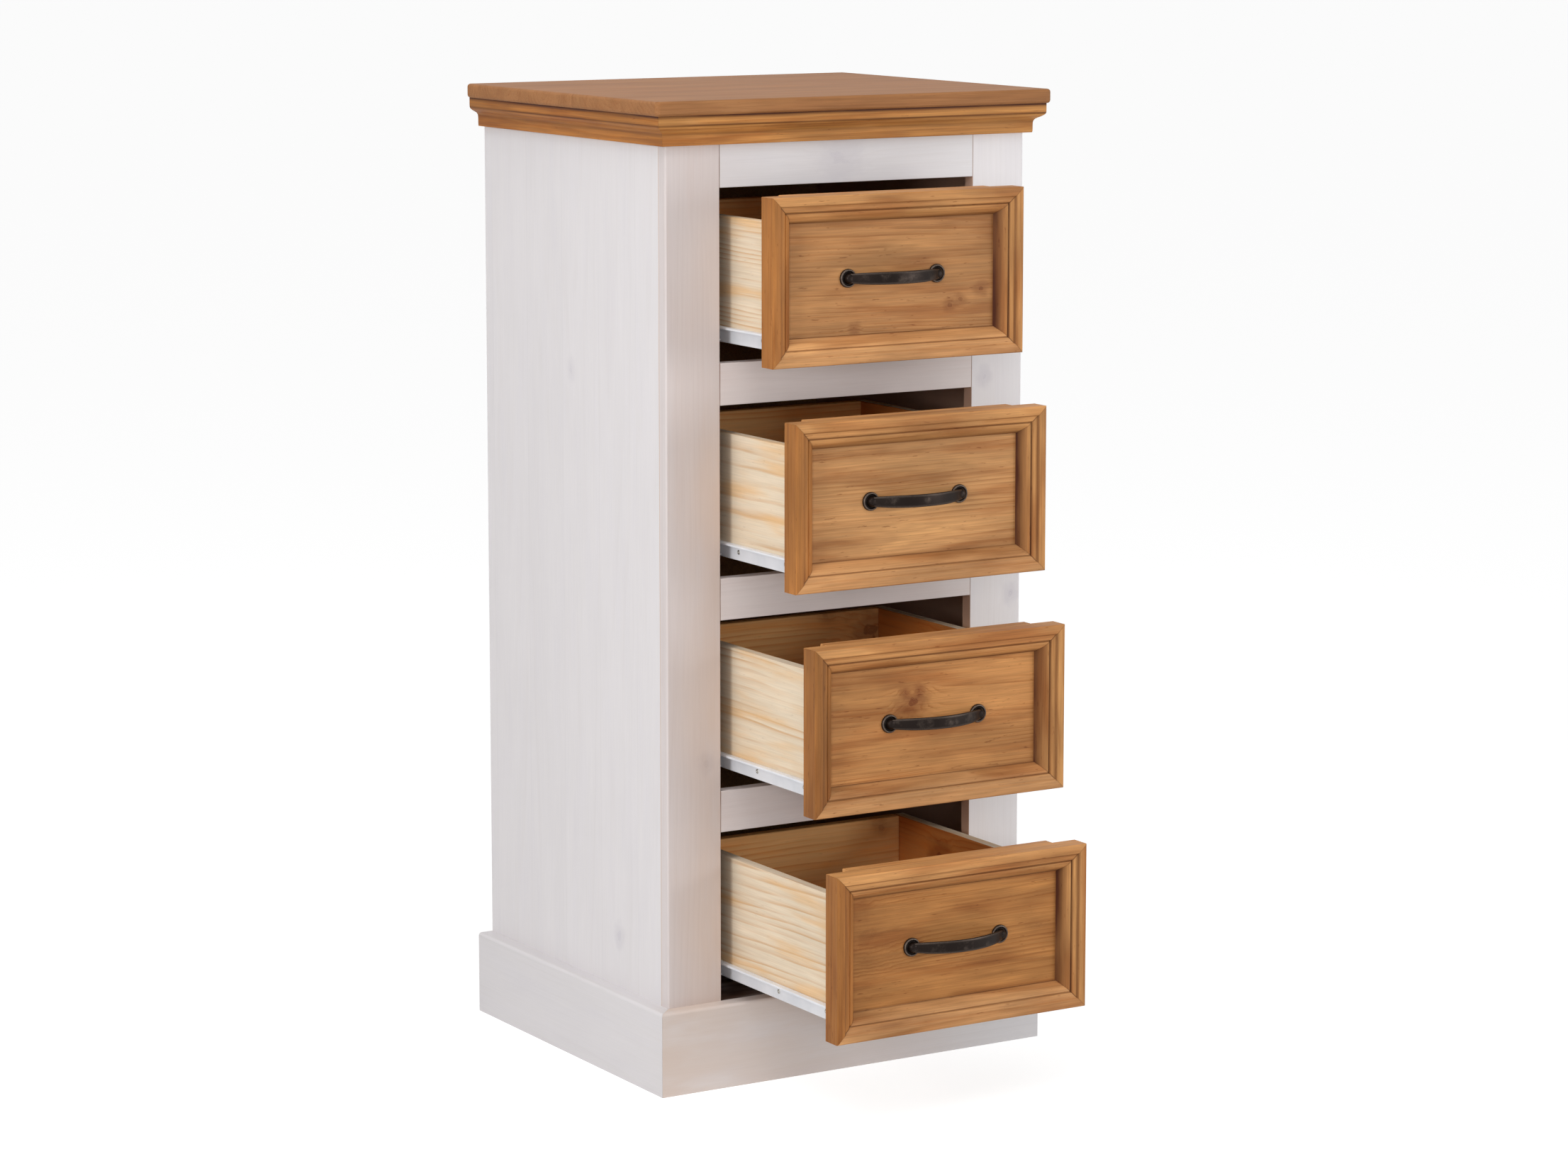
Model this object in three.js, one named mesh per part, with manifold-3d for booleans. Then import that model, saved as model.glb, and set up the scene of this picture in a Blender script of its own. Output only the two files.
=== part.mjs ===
// Commode chest: four drawers on roller runners, in a face-framed case with plinth, cornice and top board.
// Millimetres, +Z up. +X is to the right of someone who faces the drawers, and +Y runs towards the back.
// The origin is on the floor under the middle of the plinth's front board, halfway through its thickness.
import * as THREE from "three";
import { mergeVertices } from "three/addons/utils/BufferGeometryUtils.js";
import Module from "manifold-3d";

const wasm = await Module();
wasm.setup();

// Case
const caseWidth = 520;
const caseDepth = 470;
const sideThickness = 20;
const stileWidth = 76;
const faceFrameThickness = 17;
const openingHeight = 214;
const railHeight = 52;
const friezeHeight = 53;
const bottomThickness = 18;
const backThickness = 8;
const backRebateWidth = 10;
const edgeEase = 0.8;

// Plinth
const plinthHeight = 106;
const plinthThickness = 20;
const plinthEdgeRadius = 4;

// Cornice and top board
const corniceHeight = 37;
const corniceProjection = 21;
const topThickness = 18;
const topOverhang = 26;
const topEdgeRadius = 4;
const topCornerRadius = 6;

// Drawer fronts
const frontSideGap = 3.5;
const frontBottomGap = 4;
const frontTopGap = 5;
const frameThickness = 27;
const frameWidth = 33.5;
const mouldingDepth = 18.4;
const fieldThickness = 8;
const fieldRebateWidth = 6;
const fieldGap = 0.3;

// Drawer boxes
const boxSideThickness = 15;
const boxBackThickness = 15;
const boxFrontThickness = 15.5;
const boxLength = 364;
const boxBottomInset = 19.5;
const boxTopDrop = 32;
const boxEase = 1;
const panelThickness = 5;
const panelLift = 10;
const grooveDepth = 6;
const grooveGap = 0.15;
const grooveEndGap = 0.3;

// Roller runners
const runnerSpace = 21;
const runnerLength = 350;
const runnerSetback = 1;
const runnerOverlap = 70;
const sheetThickness = 1.2;
const memberHeight = 19;
const memberReach = 9.5;
const memberLip = 2.5;
const memberUnderFlange = 12;
const channelDepth = 12.7;
const channelLift = 1.5;
const channelHeight = 19.9;
const channelBottomFlange = 9.7;
const channelTopFlange = 8;
const tabWidth = 22;
const tabGap = 1;
const bracketHeight = 12;
const rollerRadius = 7;
const rollerWidth = 5.3;
const rollerEndInset = 15;
const axleRadius = 3;
const rollerGap = 0.3;
const lipGap = 0.4;
const stopHeight = 3;
const stopThickness = 2;

// Bow pulls
const holeSpacing = 128;
const rosetteRadius = 11.5;
const rosetteHeight = 9;
const strapFoot = 5;
const strapRise = 22;
const strapThickness = 4;
const strapEndHeight = 11.5;
const strapMiddleHeight = 15.5;
const strapTaperPower = 4;

// How far each drawer stands open, top drawer first
const pullOuts = [120, 173, 217, 268];

// Outline of the frame's face, from its outer edge to the sight edge: shares of its width and of its drop
const frameFaceShares = [
  [0, 0.09], [0.015, 0.025], [0.05, 0], [0.31, 0], [0.335, 0.05], [0.36, 0.12], [0.4, 0.15],
  [0.525, 0.16], [0.555, 0.21], [0.573, 0.29], [0.6, 0.29], [0.615, 0.23], [0.67, 0.24],
  [0.746, 0.335], [0.82, 0.5], [0.884, 0.68], [0.943, 0.86], [1, 1],
];

// Outline of the cornice below the top board: shares of its projection and of its height
const corniceShares = [
  [1, 0], [1, 0.3], [0.98, 0.35], [0.9, 0.405], [0.74, 0.465], [0.56, 0.515],
  [0.46, 0.57], [0.41, 0.65], [0.41, 0.97], [0.38, 1],
];

// Half outline of a rosette, from its rim to its crown: shares of its radius and of its height
const rosetteShares = [
  [1, 0], [1, 0.2], [0.93, 0.33], [0.8, 0.36], [0.7, 0.22],
  [0.62, 0.24], [0.57, 0.5], [0.46, 0.82], [0.25, 1],
];

// Section of the strap of a bow pull: shares of its half thickness and of its half height
const strapShares = [
  [-1, -0.8], [-0.7, -1], [0.6, -1], [1, -0.72], [1, 0.72], [0.6, 1], [-0.7, 1], [-1, 0.8],
];

const roundSteps = 3;
const rollerSides = 20;
const rosetteSides = 20;
const strapSteps = 12;

// Places that follow from the sizes
const yFront = plinthThickness / 2;
const yFrameBack = yFront + faceFrameThickness;
const yBack = yFront + caseDepth;
const yBackPanel = yBack - backThickness;
const caseHalf = caseWidth / 2;
const sideInner = caseHalf - sideThickness;
const openingHalf = caseHalf - stileWidth;
const openingPitch = openingHeight + railHeight;
const topRailBottom = plinthHeight + openingPitch * (pullOuts.length - 1) + openingHeight;
const caseTop = topRailBottom + friezeHeight + corniceHeight;
const frontHalf = openingHalf - frontSideGap;
const frontHeight = openingHeight - frontBottomGap - frontTopGap;
const fieldDepth = frameThickness - fieldThickness;
const boxOuter = openingHalf - runnerSpace;
const boxInner = boxOuter - boxSideThickness;
const boxSideHeight = frontHeight - boxBottomInset - boxTopDrop;
const channelTop = channelLift + channelHeight;
const yChannel = yFront + frameThickness + runnerSetback;
const drawerTravel = runnerLength - runnerOverlap;
const memberRollerHeight = channelLift + sheetThickness + rollerGap + rollerRadius;
const channelRollerHeight = memberHeight - sheetThickness - rollerGap - rollerRadius;

const honeyPine = { color: 0xb98250, roughness: 0.55, metalness: 0 };
const topPine = { color: 0xaf8560, roughness: 0.5, metalness: 0 };
const whitePine = { color: 0xdddcde, roughness: 0.6, metalness: 0 };
const barePine = { color: 0xe4cdaa, roughness: 0.7, metalness: 0 };
const fibreboard = { color: 0xa98a64, roughness: 0.8, metalness: 0 };
const whiteSteel = { color: 0xd7d7dc, roughness: 0.4, metalness: 0.1 };
const antiqueIron = { color: 0x37322f, roughness: 0.45, metalness: 0.7 };

function toSolid(geometry) {
  const position = new THREE.BufferGeometry().setAttribute("position", geometry.getAttribute("position"));
  if (geometry.index) position.setIndex(geometry.index);
  const merged = mergeVertices(position);
  return new wasm.Manifold(new wasm.Mesh({
    numProp: 3,
    vertProperties: new Float32Array(merged.getAttribute("position").array),
    triVerts: new Uint32Array(merged.index.array),
  }));
}

function toGeometry(solid) {
  const mesh = solid.getMesh();
  const positions = new Float32Array(mesh.numVert * 3);
  for (let vertex = 0; vertex < mesh.numVert; vertex++) {
    for (let axis = 0; axis < 3; axis++) {
      positions[vertex * 3 + axis] = mesh.vertProperties[vertex * mesh.numProp + axis];
    }
  }
  return new THREE.BufferGeometry()
    .setAttribute("position", new THREE.BufferAttribute(positions, 3))
    .setIndex(Array.from(mesh.triVerts));
}

function joined(geometries) {
  return toGeometry(geometries.map(toSolid).reduce((whole, piece) => whole.add(piece)));
}

function cut(geometry, tools) {
  return toGeometry(tools.map(toSolid).reduce((whole, tool) => whole.subtract(tool), toSolid(geometry)));
}

// Turns every face outward, by the sign of the volume that the triangles enclose
function facedOutward(geometry) {
  const position = geometry.getAttribute("position");
  const corners = [new THREE.Vector3(), new THREE.Vector3(), new THREE.Vector3()];
  const index = Array.from(geometry.index.array);
  let volume = 0;
  for (let face = 0; face < index.length; face += 3) {
    corners.forEach((corner, turn) => corner.fromBufferAttribute(position, index[face + turn]));
    volume += corners[0].dot(corners[1].clone().cross(corners[2]));
  }
  if (volume < 0) index.reverse();
  return geometry.setIndex(index);
}

function mirroredX(geometry) {
  const plain = geometry.index ? geometry.clone() : mergeVertices(geometry);
  return facedOutward(plain.scale(-1, 1, 1));
}

// A plain block between two limits on each axis
function block(x, y, z) {
  const size = [x, y, z].map(([low, high]) => high - low);
  const middle = [x, y, z].map(([low, high]) => (low + high) / 2);
  return new THREE.BoxGeometry(...size).translate(...middle);
}

// A flat board between two limits on each axis, with its edges and corners eased or rounded
function board(x, y, z, edge = edgeEase, corner = edge, steps = 1) {
  const [halfWidth, halfDepth, height] = [(x[1] - x[0]) / 2, (y[1] - y[0]) / 2, z[1] - z[0]];
  const outline = new THREE.Shape();
  const centres = [[1, 1], [-1, 1], [-1, -1], [1, -1]];
  const points = centres.flatMap(([sideX, sideY], quarter) =>
    Array.from({ length: steps + 1 }, (_, step) => {
      const angle = (quarter + step / steps) * (Math.PI / 2);
      return new THREE.Vector2(
        sideX * (halfWidth - corner) + corner * Math.cos(angle),
        sideY * (halfDepth - corner) + corner * Math.sin(angle),
      );
    }));
  outline.setFromPoints(points);
  const options = {
    depth: height - 2 * edge,
    bevelThickness: edge,
    bevelSize: edge,
    bevelOffset: -edge,
    bevelSegments: steps,
  };
  return new THREE.ExtrudeGeometry(outline, options)
    .translate((x[0] + x[1]) / 2, (y[0] + y[1]) / 2, z[0] + edge);
}

function station(origin, across, along) {
  const [from, a, b] = [origin, across, along].map((triple) => new THREE.Vector3(...triple));
  return { origin: from, across: a, along: b };
}

// Carries a closed outline through stations. Its point (a, b) lies at origin + a across + b along.
function swept(outline, stations, closed = false) {
  const count = outline.length;
  const points = stations.flatMap(({ origin, across, along }) =>
    outline.map(([a, b]) => origin.clone().addScaledVector(across, a).addScaledVector(along, b)));
  const index = [];
  const spans = closed ? stations.length : stations.length - 1;
  for (let span = 0; span < spans; span++) {
    const here = span * count;
    const there = ((span + 1) % stations.length) * count;
    for (let point = 0; point < count; point++) {
      const next = (point + 1) % count;
      index.push(here + point, here + next, there + next, here + point, there + next, there + point);
    }
  }
  if (!closed) {
    const flat = outline.map(([a, b]) => new THREE.Vector2(a, b));
    const lastRing = (stations.length - 1) * count;
    const forward = THREE.ShapeUtils.area(flat) > 0;
    for (const [a, b, c] of THREE.ShapeUtils.triangulateShape(flat, [])) {
      const start = forward ? [c, b, a] : [a, b, c];
      const end = forward ? [a, b, c] : [c, b, a];
      index.push(...start, ...end.map((corner) => corner + lastRing));
    }
  }
  const geometry = new THREE.BufferGeometry().setFromPoints(points).setIndex(index);
  return facedOutward(geometry);
}

// Carries an outline drawn in X and Z from one Y to another
function sweptAlongY(outline, y0, y1) {
  return swept(outline, [y0, y1].map((y) => station([0, y, 0], [1, 0, 0], [0, 0, 1])));
}

function scaledOutline(shares, width, height) {
  return shares.map(([a, b]) => [a * width, b * height]);
}

// Case

function sidePanel(side) {
  const panel = board([sideInner, caseHalf], [yFrameBack, yBack], [0, caseTop]);
  const rebate = block(
    [sideInner - backRebateWidth, sideInner + backRebateWidth],
    [yBackPanel, yBack + backThickness],
    [-sideThickness, caseTop + sideThickness],
  );
  const finished = cut(panel, [rebate]);
  return side < 0 ? mirroredX(finished) : finished;
}

function stile(side) {
  const finished = board([openingHalf, caseHalf], [yFront, yFrameBack], [0, caseTop]);
  return side < 0 ? mirroredX(finished) : finished;
}

function rail(bottom, top) {
  return board([-openingHalf, openingHalf], [yFront, yFrameBack], [bottom, top]);
}

// The bottom board is notched round the stiles, so that its front edge closes the lowest opening
function bottomBoard() {
  const outline = new THREE.Shape([
    [-openingHalf, yFront], [openingHalf, yFront],
    [openingHalf, yFrameBack], [sideInner, yFrameBack],
    [sideInner, yBackPanel], [-sideInner, yBackPanel],
    [-sideInner, yFrameBack], [-openingHalf, yFrameBack],
  ].map(([x, y]) => new THREE.Vector2(x, y)));
  return new THREE.ExtrudeGeometry(outline, { depth: bottomThickness, bevelEnabled: false })
    .translate(0, 0, plinthHeight - bottomThickness);
}

function backPanel() {
  const half = sideInner + backRebateWidth - fieldGap;
  return block([-half, half], [yBackPanel, yBack], [plinthHeight - bottomThickness, caseTop]);
}

// Plinth: three boards mitred at the front corners and glued into one frame
function plinth() {
  const shoulder = plinthHeight - plinthEdgeRadius;
  const crown = Array.from({ length: roundSteps + 1 }, (_, step) => {
    const angle = (step / roundSteps) * (Math.PI / 2);
    return [
      plinthThickness - plinthEdgeRadius + plinthEdgeRadius * Math.cos(angle),
      shoulder + plinthEdgeRadius * Math.sin(angle),
    ];
  });
  const outline = [[0, 0], [plinthThickness, 0], ...crown, [0, plinthHeight]];
  return swept(outline, [
    station([-caseHalf, yBack, 0], [-1, 0, 0], [0, 0, 1]),
    station([-caseHalf, yFront, 0], [-1, -1, 0], [0, 0, 1]),
    station([caseHalf, yFront, 0], [1, -1, 0], [0, 0, 1]),
    station([caseHalf, yBack, 0], [1, 0, 0], [0, 0, 1]),
  ]);
}

// Cornice: the outline runs out from the case and down from the top board
function corniceOutline() {
  return [[0, 0], ...scaledOutline(corniceShares, corniceProjection, corniceHeight), [0, corniceHeight]];
}

function corniceFront() {
  return swept(corniceOutline(), [
    station([-caseHalf, yFront, caseTop], [-1, -1, 0], [0, 0, -1]),
    station([caseHalf, yFront, caseTop], [1, -1, 0], [0, 0, -1]),
  ]);
}

function corniceSide(side) {
  return swept(corniceOutline(), [
    station([side * caseHalf, yFront, caseTop], [side, -1, 0], [0, 0, -1]),
    station([side * caseHalf, yBack, caseTop], [side, 0, 0], [0, 0, -1]),
  ]);
}

function topBoard() {
  const half = caseHalf + topOverhang;
  const depth = [yFront - topOverhang, yBack];
  const height = [caseTop, caseTop + topThickness];
  return board([-half, half], depth, height, topEdgeRadius, topCornerRadius, roundSteps);
}

// Runners, drawn for the right side: X runs out from the box side, and Z up from the box's lower edge

function roller(centreY, centreHeight, innerEdge, axleEnd) {
  const across = new THREE.Matrix4().makeRotationZ(Math.PI / 2);
  const wheel = new THREE.CylinderGeometry(rollerRadius, rollerRadius, rollerWidth, rollerSides)
    .applyMatrix4(across)
    .translate(innerEdge + rollerWidth / 2, centreY, centreHeight);
  const axleLength = Math.abs(axleEnd - innerEdge - rollerWidth / 2);
  const axle = new THREE.CylinderGeometry(axleRadius, axleRadius, axleLength, rollerSides)
    .applyMatrix4(across)
    .translate((innerEdge + rollerWidth / 2 + axleEnd) / 2, centreY, centreHeight);
  return [wheel, axle];
}

const rollerOuter = memberReach - sheetThickness - lipGap;
const rollerInner = rollerOuter - rollerWidth;

// The case's member: a channel with a front roller and a stop. It starts behind the shut drawer's frame,
// so a stepped tab reaches forward to the back of the stile. A bracket joins its rear end to the back panel.
function caseRunner() {
  const web = channelDepth - sheetThickness;
  const channel = sweptAlongY([
    [channelDepth - channelBottomFlange, channelLift],
    [channelDepth, channelLift],
    [channelDepth, channelTop],
    [channelDepth - channelTopFlange, channelTop],
    [channelDepth - channelTopFlange, channelTop - sheetThickness],
    [web, channelTop - sheetThickness],
    [web, channelLift + sheetThickness],
    [channelDepth - channelBottomFlange, channelLift + sheetThickness],
  ], yChannel, yChannel + runnerLength);
  const tabStep = runnerSpace + tabGap;
  const tabZ = [channelLift, channelTop];
  const tab = [
    block([web, tabStep + sheetThickness], [yChannel, yChannel + sheetThickness], tabZ),
    block([tabStep, tabStep + sheetThickness], [yFrameBack, yChannel + sheetThickness], tabZ),
    block([tabStep, tabStep + tabWidth], [yFrameBack, yFrameBack + sheetThickness], tabZ),
  ];
  const bracketBottom = channelLift + (channelHeight - bracketHeight) / 2;
  const bracketZ = [bracketBottom, bracketBottom + bracketHeight];
  const arm = block([web, channelDepth], [yChannel + runnerLength - sheetThickness, yBackPanel], bracketZ);
  const foot = block([web, channelDepth + tabWidth], [yBackPanel - sheetThickness, yBackPanel], bracketZ);
  const rollerY = yChannel + rollerEndInset;
  const wheel = roller(rollerY, channelRollerHeight, rollerInner, channelDepth - sheetThickness / 2);
  const rearRollerY = yFront + frameThickness + runnerLength - rollerEndInset;
  const stopY = rearRollerY - drawerTravel - rollerRadius - rollerGap;
  const stop = block(
    [channelDepth - channelBottomFlange + sheetThickness, web],
    [stopY - stopThickness, stopY],
    [channelLift, channelLift + sheetThickness + stopHeight],
  );
  return joined([channel, ...tab, arm, foot, stop, ...wheel]);
}

// The drawer's member: wraps the lower edge of the box side, with a flange that rides on the case's roller
function drawerRunner() {
  const start = yFront + frameThickness;
  const profile = sweptAlongY([
    [-memberUnderFlange, -sheetThickness],
    [sheetThickness, -sheetThickness],
    [sheetThickness, memberHeight - sheetThickness],
    [memberReach - sheetThickness, memberHeight - sheetThickness],
    [memberReach - sheetThickness, memberHeight - memberLip],
    [memberReach, memberHeight - memberLip],
    [memberReach, memberHeight],
    [0, memberHeight],
    [0, 0],
    [-memberUnderFlange, 0],
  ], start, start + runnerLength);
  const rollerY = start + runnerLength - rollerEndInset;
  return joined([profile, ...roller(rollerY, memberRollerHeight, rollerInner, sheetThickness / 2)]);
}

// Drawer pieces, placed with the drawer shut and Z counted from the lower edge of its front

// The moulded frame: one outline mitred round four corners, rebated at the back for the field
function drawerFrame() {
  const outline = [
    [0, frameThickness],
    ...scaledOutline(frameFaceShares, frameWidth, mouldingDepth),
    [frameWidth, fieldDepth],
    [frameWidth - fieldRebateWidth, fieldDepth],
    [frameWidth - fieldRebateWidth, frameThickness],
  ];
  return swept(outline, [
    station([-frontHalf, yFront, 0], [1, 0, 1], [0, 1, 0]),
    station([frontHalf, yFront, 0], [-1, 0, 1], [0, 1, 0]),
    station([frontHalf, yFront, frontHeight], [-1, 0, -1], [0, 1, 0]),
    station([-frontHalf, yFront, frontHeight], [1, 0, -1], [0, 1, 0]),
  ], true);
}

// Heights of the box's bottom panel and of the groove round it
const panelBottom = boxBottomInset + panelLift;
const panelTop = panelBottom + panelThickness;
const grooveZ = [panelBottom - grooveGap, panelTop + grooveGap];
const yFrameRear = yFront + frameThickness;
const yBoxFrontRear = yFrameRear + boxFrontThickness;
const yBoxRear = yFrameRear + boxLength;

// The field in the frame and the box front behind it, in one board
function frontBoard() {
  const inset = frameWidth - fieldRebateWidth + fieldGap;
  const field = block(
    [inset - frontHalf, frontHalf - inset],
    [yFront + fieldDepth, yFrameRear],
    [inset, frontHeight - inset],
  );
  const boxFront = block([-boxInner, boxInner], [yFrameRear, yBoxFrontRear], [boxBottomInset, frontHeight]);
  const grooveY = [yBoxFrontRear - grooveDepth, yBoxFrontRear + grooveDepth];
  const groove = block([-boxOuter, boxOuter], grooveY, grooveZ);
  return cut(joined([field, boxFront]), [groove]);
}

function boxSide(side) {
  const top = boxBottomInset + boxSideHeight;
  const plank = board([boxInner, boxOuter], [yFrameRear, yBoxRear], [boxBottomInset, top], boxEase);
  const grooveX = [boxInner - grooveDepth, boxInner + grooveDepth];
  const groove = block(grooveX, [yFront, yBoxRear + grooveDepth], grooveZ);
  const finished = cut(plank, [groove]);
  return side < 0 ? mirroredX(finished) : finished;
}

function boxBack() {
  const top = boxBottomInset + boxSideHeight;
  return board([-boxInner, boxInner], [yBoxRear - boxBackThickness, yBoxRear], [panelTop, top], boxEase);
}

function boxBottom() {
  const reach = grooveDepth - grooveEndGap;
  const half = boxInner + reach;
  return block([-half, half], [yBoxFrontRear - reach, yBoxRear], [panelBottom, panelTop]);
}

// A bow pull: two ringed rosettes and a strap bent to an arc, widest in the middle
function bowPull() {
  const crown = [...scaledOutline(rosetteShares, rosetteRadius, rosetteHeight), [0, rosetteHeight]];
  const halfOutline = [[0, 0], ...crown].map(([radius, height]) => new THREE.Vector2(radius, height));
  const rosette = new THREE.LatheGeometry(halfOutline, rosetteSides).rotateX(Math.PI);
  const rosettes = [-1, 1].map((side) => mergeVertices(stripped(rosette.clone()))
    .translate(side * holeSpacing / 2, 0, 0));
  const halfSpan = holeSpacing / 2;
  const bendRadius = (halfSpan ** 2 + strapRise ** 2) / (2 * strapRise);
  const halfAngle = Math.asin(halfSpan / bendRadius);
  const stations = Array.from({ length: strapSteps + 1 }, (_, step) => {
    const share = (2 * step) / strapSteps - 1;
    const angle = share * halfAngle;
    const taper = (strapMiddleHeight - strapEndHeight) * share ** strapTaperPower;
    const halfHeight = (strapMiddleHeight - taper) / 2;
    const outward = [Math.sin(angle), -Math.cos(angle), 0];
    const lift = strapFoot + strapRise - bendRadius;
    const origin = [outward[0] * bendRadius, outward[1] * bendRadius - lift, 0];
    return station(origin, outward.map((part) => part * strapThickness / 2), [0, 0, halfHeight]);
  });
  return joined([swept(strapShares, stations), ...rosettes.map(facedOutward)]);
}

// Keeps only the positions, so that equal corners can be merged
function stripped(geometry) {
  const bare = new THREE.BufferGeometry().setAttribute("position", geometry.getAttribute("position"));
  return geometry.index ? bare.setIndex(geometry.index) : bare;
}

// Assembly

const chest = new THREE.Group();
chest.name = "commode_chest";

function add(name, geometry, finish) {
  const mesh = new THREE.Mesh(geometry, new THREE.MeshStandardMaterial(finish));
  mesh.name = name;
  chest.add(mesh);
}

const sides = [["left", -1], ["right", 1]];

add("top_board", topBoard(), topPine);
add("cornice_front", corniceFront(), honeyPine);
for (const [hand, side] of sides) {
  add(`cornice_${hand}`, corniceSide(side), honeyPine);
  add(`side_panel_${hand}`, sidePanel(side), whitePine);
  add(`stile_${hand}`, stile(side), whitePine);
}
add("rail_top", rail(topRailBottom, caseTop), whitePine);
add("bottom_board", bottomBoard(), whitePine);
add("back_panel", backPanel(), fibreboard);
add("plinth", plinth(), whitePine);

pullOuts.forEach((pullOut, place) => {
  const number = place + 1;
  const openingBottom = plinthHeight + openingPitch * (pullOuts.length - number);
  const frontBottom = openingBottom + frontBottomGap;
  const boxEdge = frontBottom + boxBottomInset;
  const openingTop = openingBottom + openingHeight;
  if (place > 0) add(`rail_${place}`, rail(openingTop, openingTop + railHeight), whitePine);

  const inCase = caseRunner().translate(boxOuter, 0, boxEdge);
  const onBox = drawerRunner().translate(boxOuter, 0, boxEdge);
  for (const [hand, side] of sides) {
    const handed = (geometry) => (side < 0 ? mirroredX(geometry) : geometry.clone());
    add(`case_runner_${number}_${hand}`, handed(inCase), whiteSteel);
    add(`drawer_${number}_runner_${hand}`, handed(onBox).translate(0, -pullOut, 0), whiteSteel);
    add(`drawer_${number}_side_${hand}`, boxSide(side).translate(0, -pullOut, frontBottom), barePine);
  }
  add(`drawer_${number}_frame`, drawerFrame().translate(0, -pullOut, frontBottom), honeyPine);
  add(`drawer_${number}_front_board`, frontBoard().translate(0, -pullOut, frontBottom), honeyPine);
  add(`drawer_${number}_back`, boxBack().translate(0, -pullOut, frontBottom), barePine);
  add(`drawer_${number}_bottom`, boxBottom().translate(0, -pullOut, frontBottom), fibreboard);
  const pullY = yFront + fieldDepth - pullOut;
  add(`drawer_${number}_handle`, bowPull().translate(0, pullY, frontBottom + frontHeight / 2), antiqueIron);
});

export default chest;
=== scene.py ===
"""Looks of the commode chest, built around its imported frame. Metres, +Z up, drawers towards -Y."""
import math

import bmesh
import bpy
from mathutils import Matrix, Vector

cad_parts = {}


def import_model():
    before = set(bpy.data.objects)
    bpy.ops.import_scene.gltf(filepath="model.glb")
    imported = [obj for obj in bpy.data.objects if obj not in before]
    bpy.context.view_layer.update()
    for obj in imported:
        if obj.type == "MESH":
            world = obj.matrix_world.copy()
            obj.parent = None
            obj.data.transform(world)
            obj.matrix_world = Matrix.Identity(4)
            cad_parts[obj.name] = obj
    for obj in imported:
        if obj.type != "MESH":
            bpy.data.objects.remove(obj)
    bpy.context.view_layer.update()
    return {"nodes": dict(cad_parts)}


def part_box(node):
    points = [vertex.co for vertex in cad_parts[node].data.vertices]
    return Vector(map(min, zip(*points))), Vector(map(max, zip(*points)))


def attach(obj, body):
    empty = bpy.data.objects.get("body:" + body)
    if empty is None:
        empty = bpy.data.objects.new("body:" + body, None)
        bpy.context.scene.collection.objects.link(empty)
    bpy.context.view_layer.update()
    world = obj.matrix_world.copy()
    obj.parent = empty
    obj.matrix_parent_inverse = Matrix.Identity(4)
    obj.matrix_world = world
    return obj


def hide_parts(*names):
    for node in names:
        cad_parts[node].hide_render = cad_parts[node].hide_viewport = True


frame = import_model()

MM = 0.001
HANDS = {"left": -1, "right": 1}
DRAWERS = (1, 2, 3, 4)
RAILS = ("rail_top", "rail_1", "rail_2", "rail_3")

# Sizes that the frame's boxes don't give
FRAME_WIDTH = 33.5 * MM
MOULDING_DEPTH = 18.4 * MM
FIELD_DEPTH = 19 * MM
FRAME_REBATE = 6 * MM
FIELD_GAP = 0.3 * MM
MITRE_GAP = 0.1 * MM
MITRE_LINE = 1.3 * MM
BOX_FRONT_THICKNESS = 15.5 * MM
PLINTH_THICKNESS = 20 * MM
PLINTH_EDGE = 4 * MM
TOP_EDGE = 4 * MM
TOP_CORNER = 6 * MM
CORNICE_PROJECTION = 21 * MM
CORNICE_HEIGHT = 37 * MM
CASE_CORNER = 2.5 * MM
BOARD_EASE = 1 * MM
JOINT_LINE = 0.9 * MM
STILE_SEAM = 1.6 * MM
BACK_SCREW_INSET = 12 * MM
BACK_SCREW_ROWS = 8
BACK_SHEET_SETBACK = 1 * MM
THIN_EASE = 0.3 * MM
# How far behind the bottom board's front edge its painted shade begins
BOTTOM_SHADE_SETBACK = 2 * MM
HOLE_SPACING = 128 * MM
ROSETTE_RADIUS = 11.5 * MM
ROSETTE_HEIGHT = 9 * MM
PULL_SCREW_RADIUS = 4 * MM
PULL_SCREW_HEIGHT = 2 * MM
STRAP_FOOT = 5 * MM
STRAP_RISE = 22 * MM
STRAP_THICKNESS = 4 * MM
STRAP_END_HEIGHT = 11.5 * MM
STRAP_MIDDLE_HEIGHT = 15.5 * MM
STRAP_TAPER_POWER = 4

# Sheet-steel runners: places out from the box side and up from its lower edge
SHEET = 1.2 * MM
BEND = 1.1 * MM
MEMBER_HEIGHT = 19 * MM
MEMBER_REACH = 9.5 * MM
MEMBER_LIP = 2.5 * MM
MEMBER_UNDER = 12 * MM
MEMBER_SCREWS = (25 * MM, 135 * MM, 300 * MM)
CHANNEL_DEPTH = 12.7 * MM
CHANNEL_LIFT = 1.5 * MM
CHANNEL_TOP = 21.4 * MM
CHANNEL_BOTTOM_FLANGE = 9.7 * MM
CHANNEL_TOP_FLANGE = 8 * MM
RUNNER_LENGTH = 350 * MM
RUNNER_SETBACK = 1 * MM
RUNNER_OVERLAP = 70 * MM
TAB_STEP = 22 * MM
TAB_WIDTH = 22 * MM
BRACKET_HEIGHT = 12 * MM
STOP_HEIGHT = 3 * MM
STOP_THICKNESS = 2 * MM
ROLLER_RADIUS = 7 * MM
ROLLER_WIDTH = 5.3 * MM
ROLLER_INNER = 2.6 * MM
ROLLER_INSET = 15 * MM
ROLLER_GAP = 0.3 * MM
ROLLER_EASE = 0.6 * MM
AXLE_RADIUS = 3 * MM
AXLE_HEAD = 0.4 * MM

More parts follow.
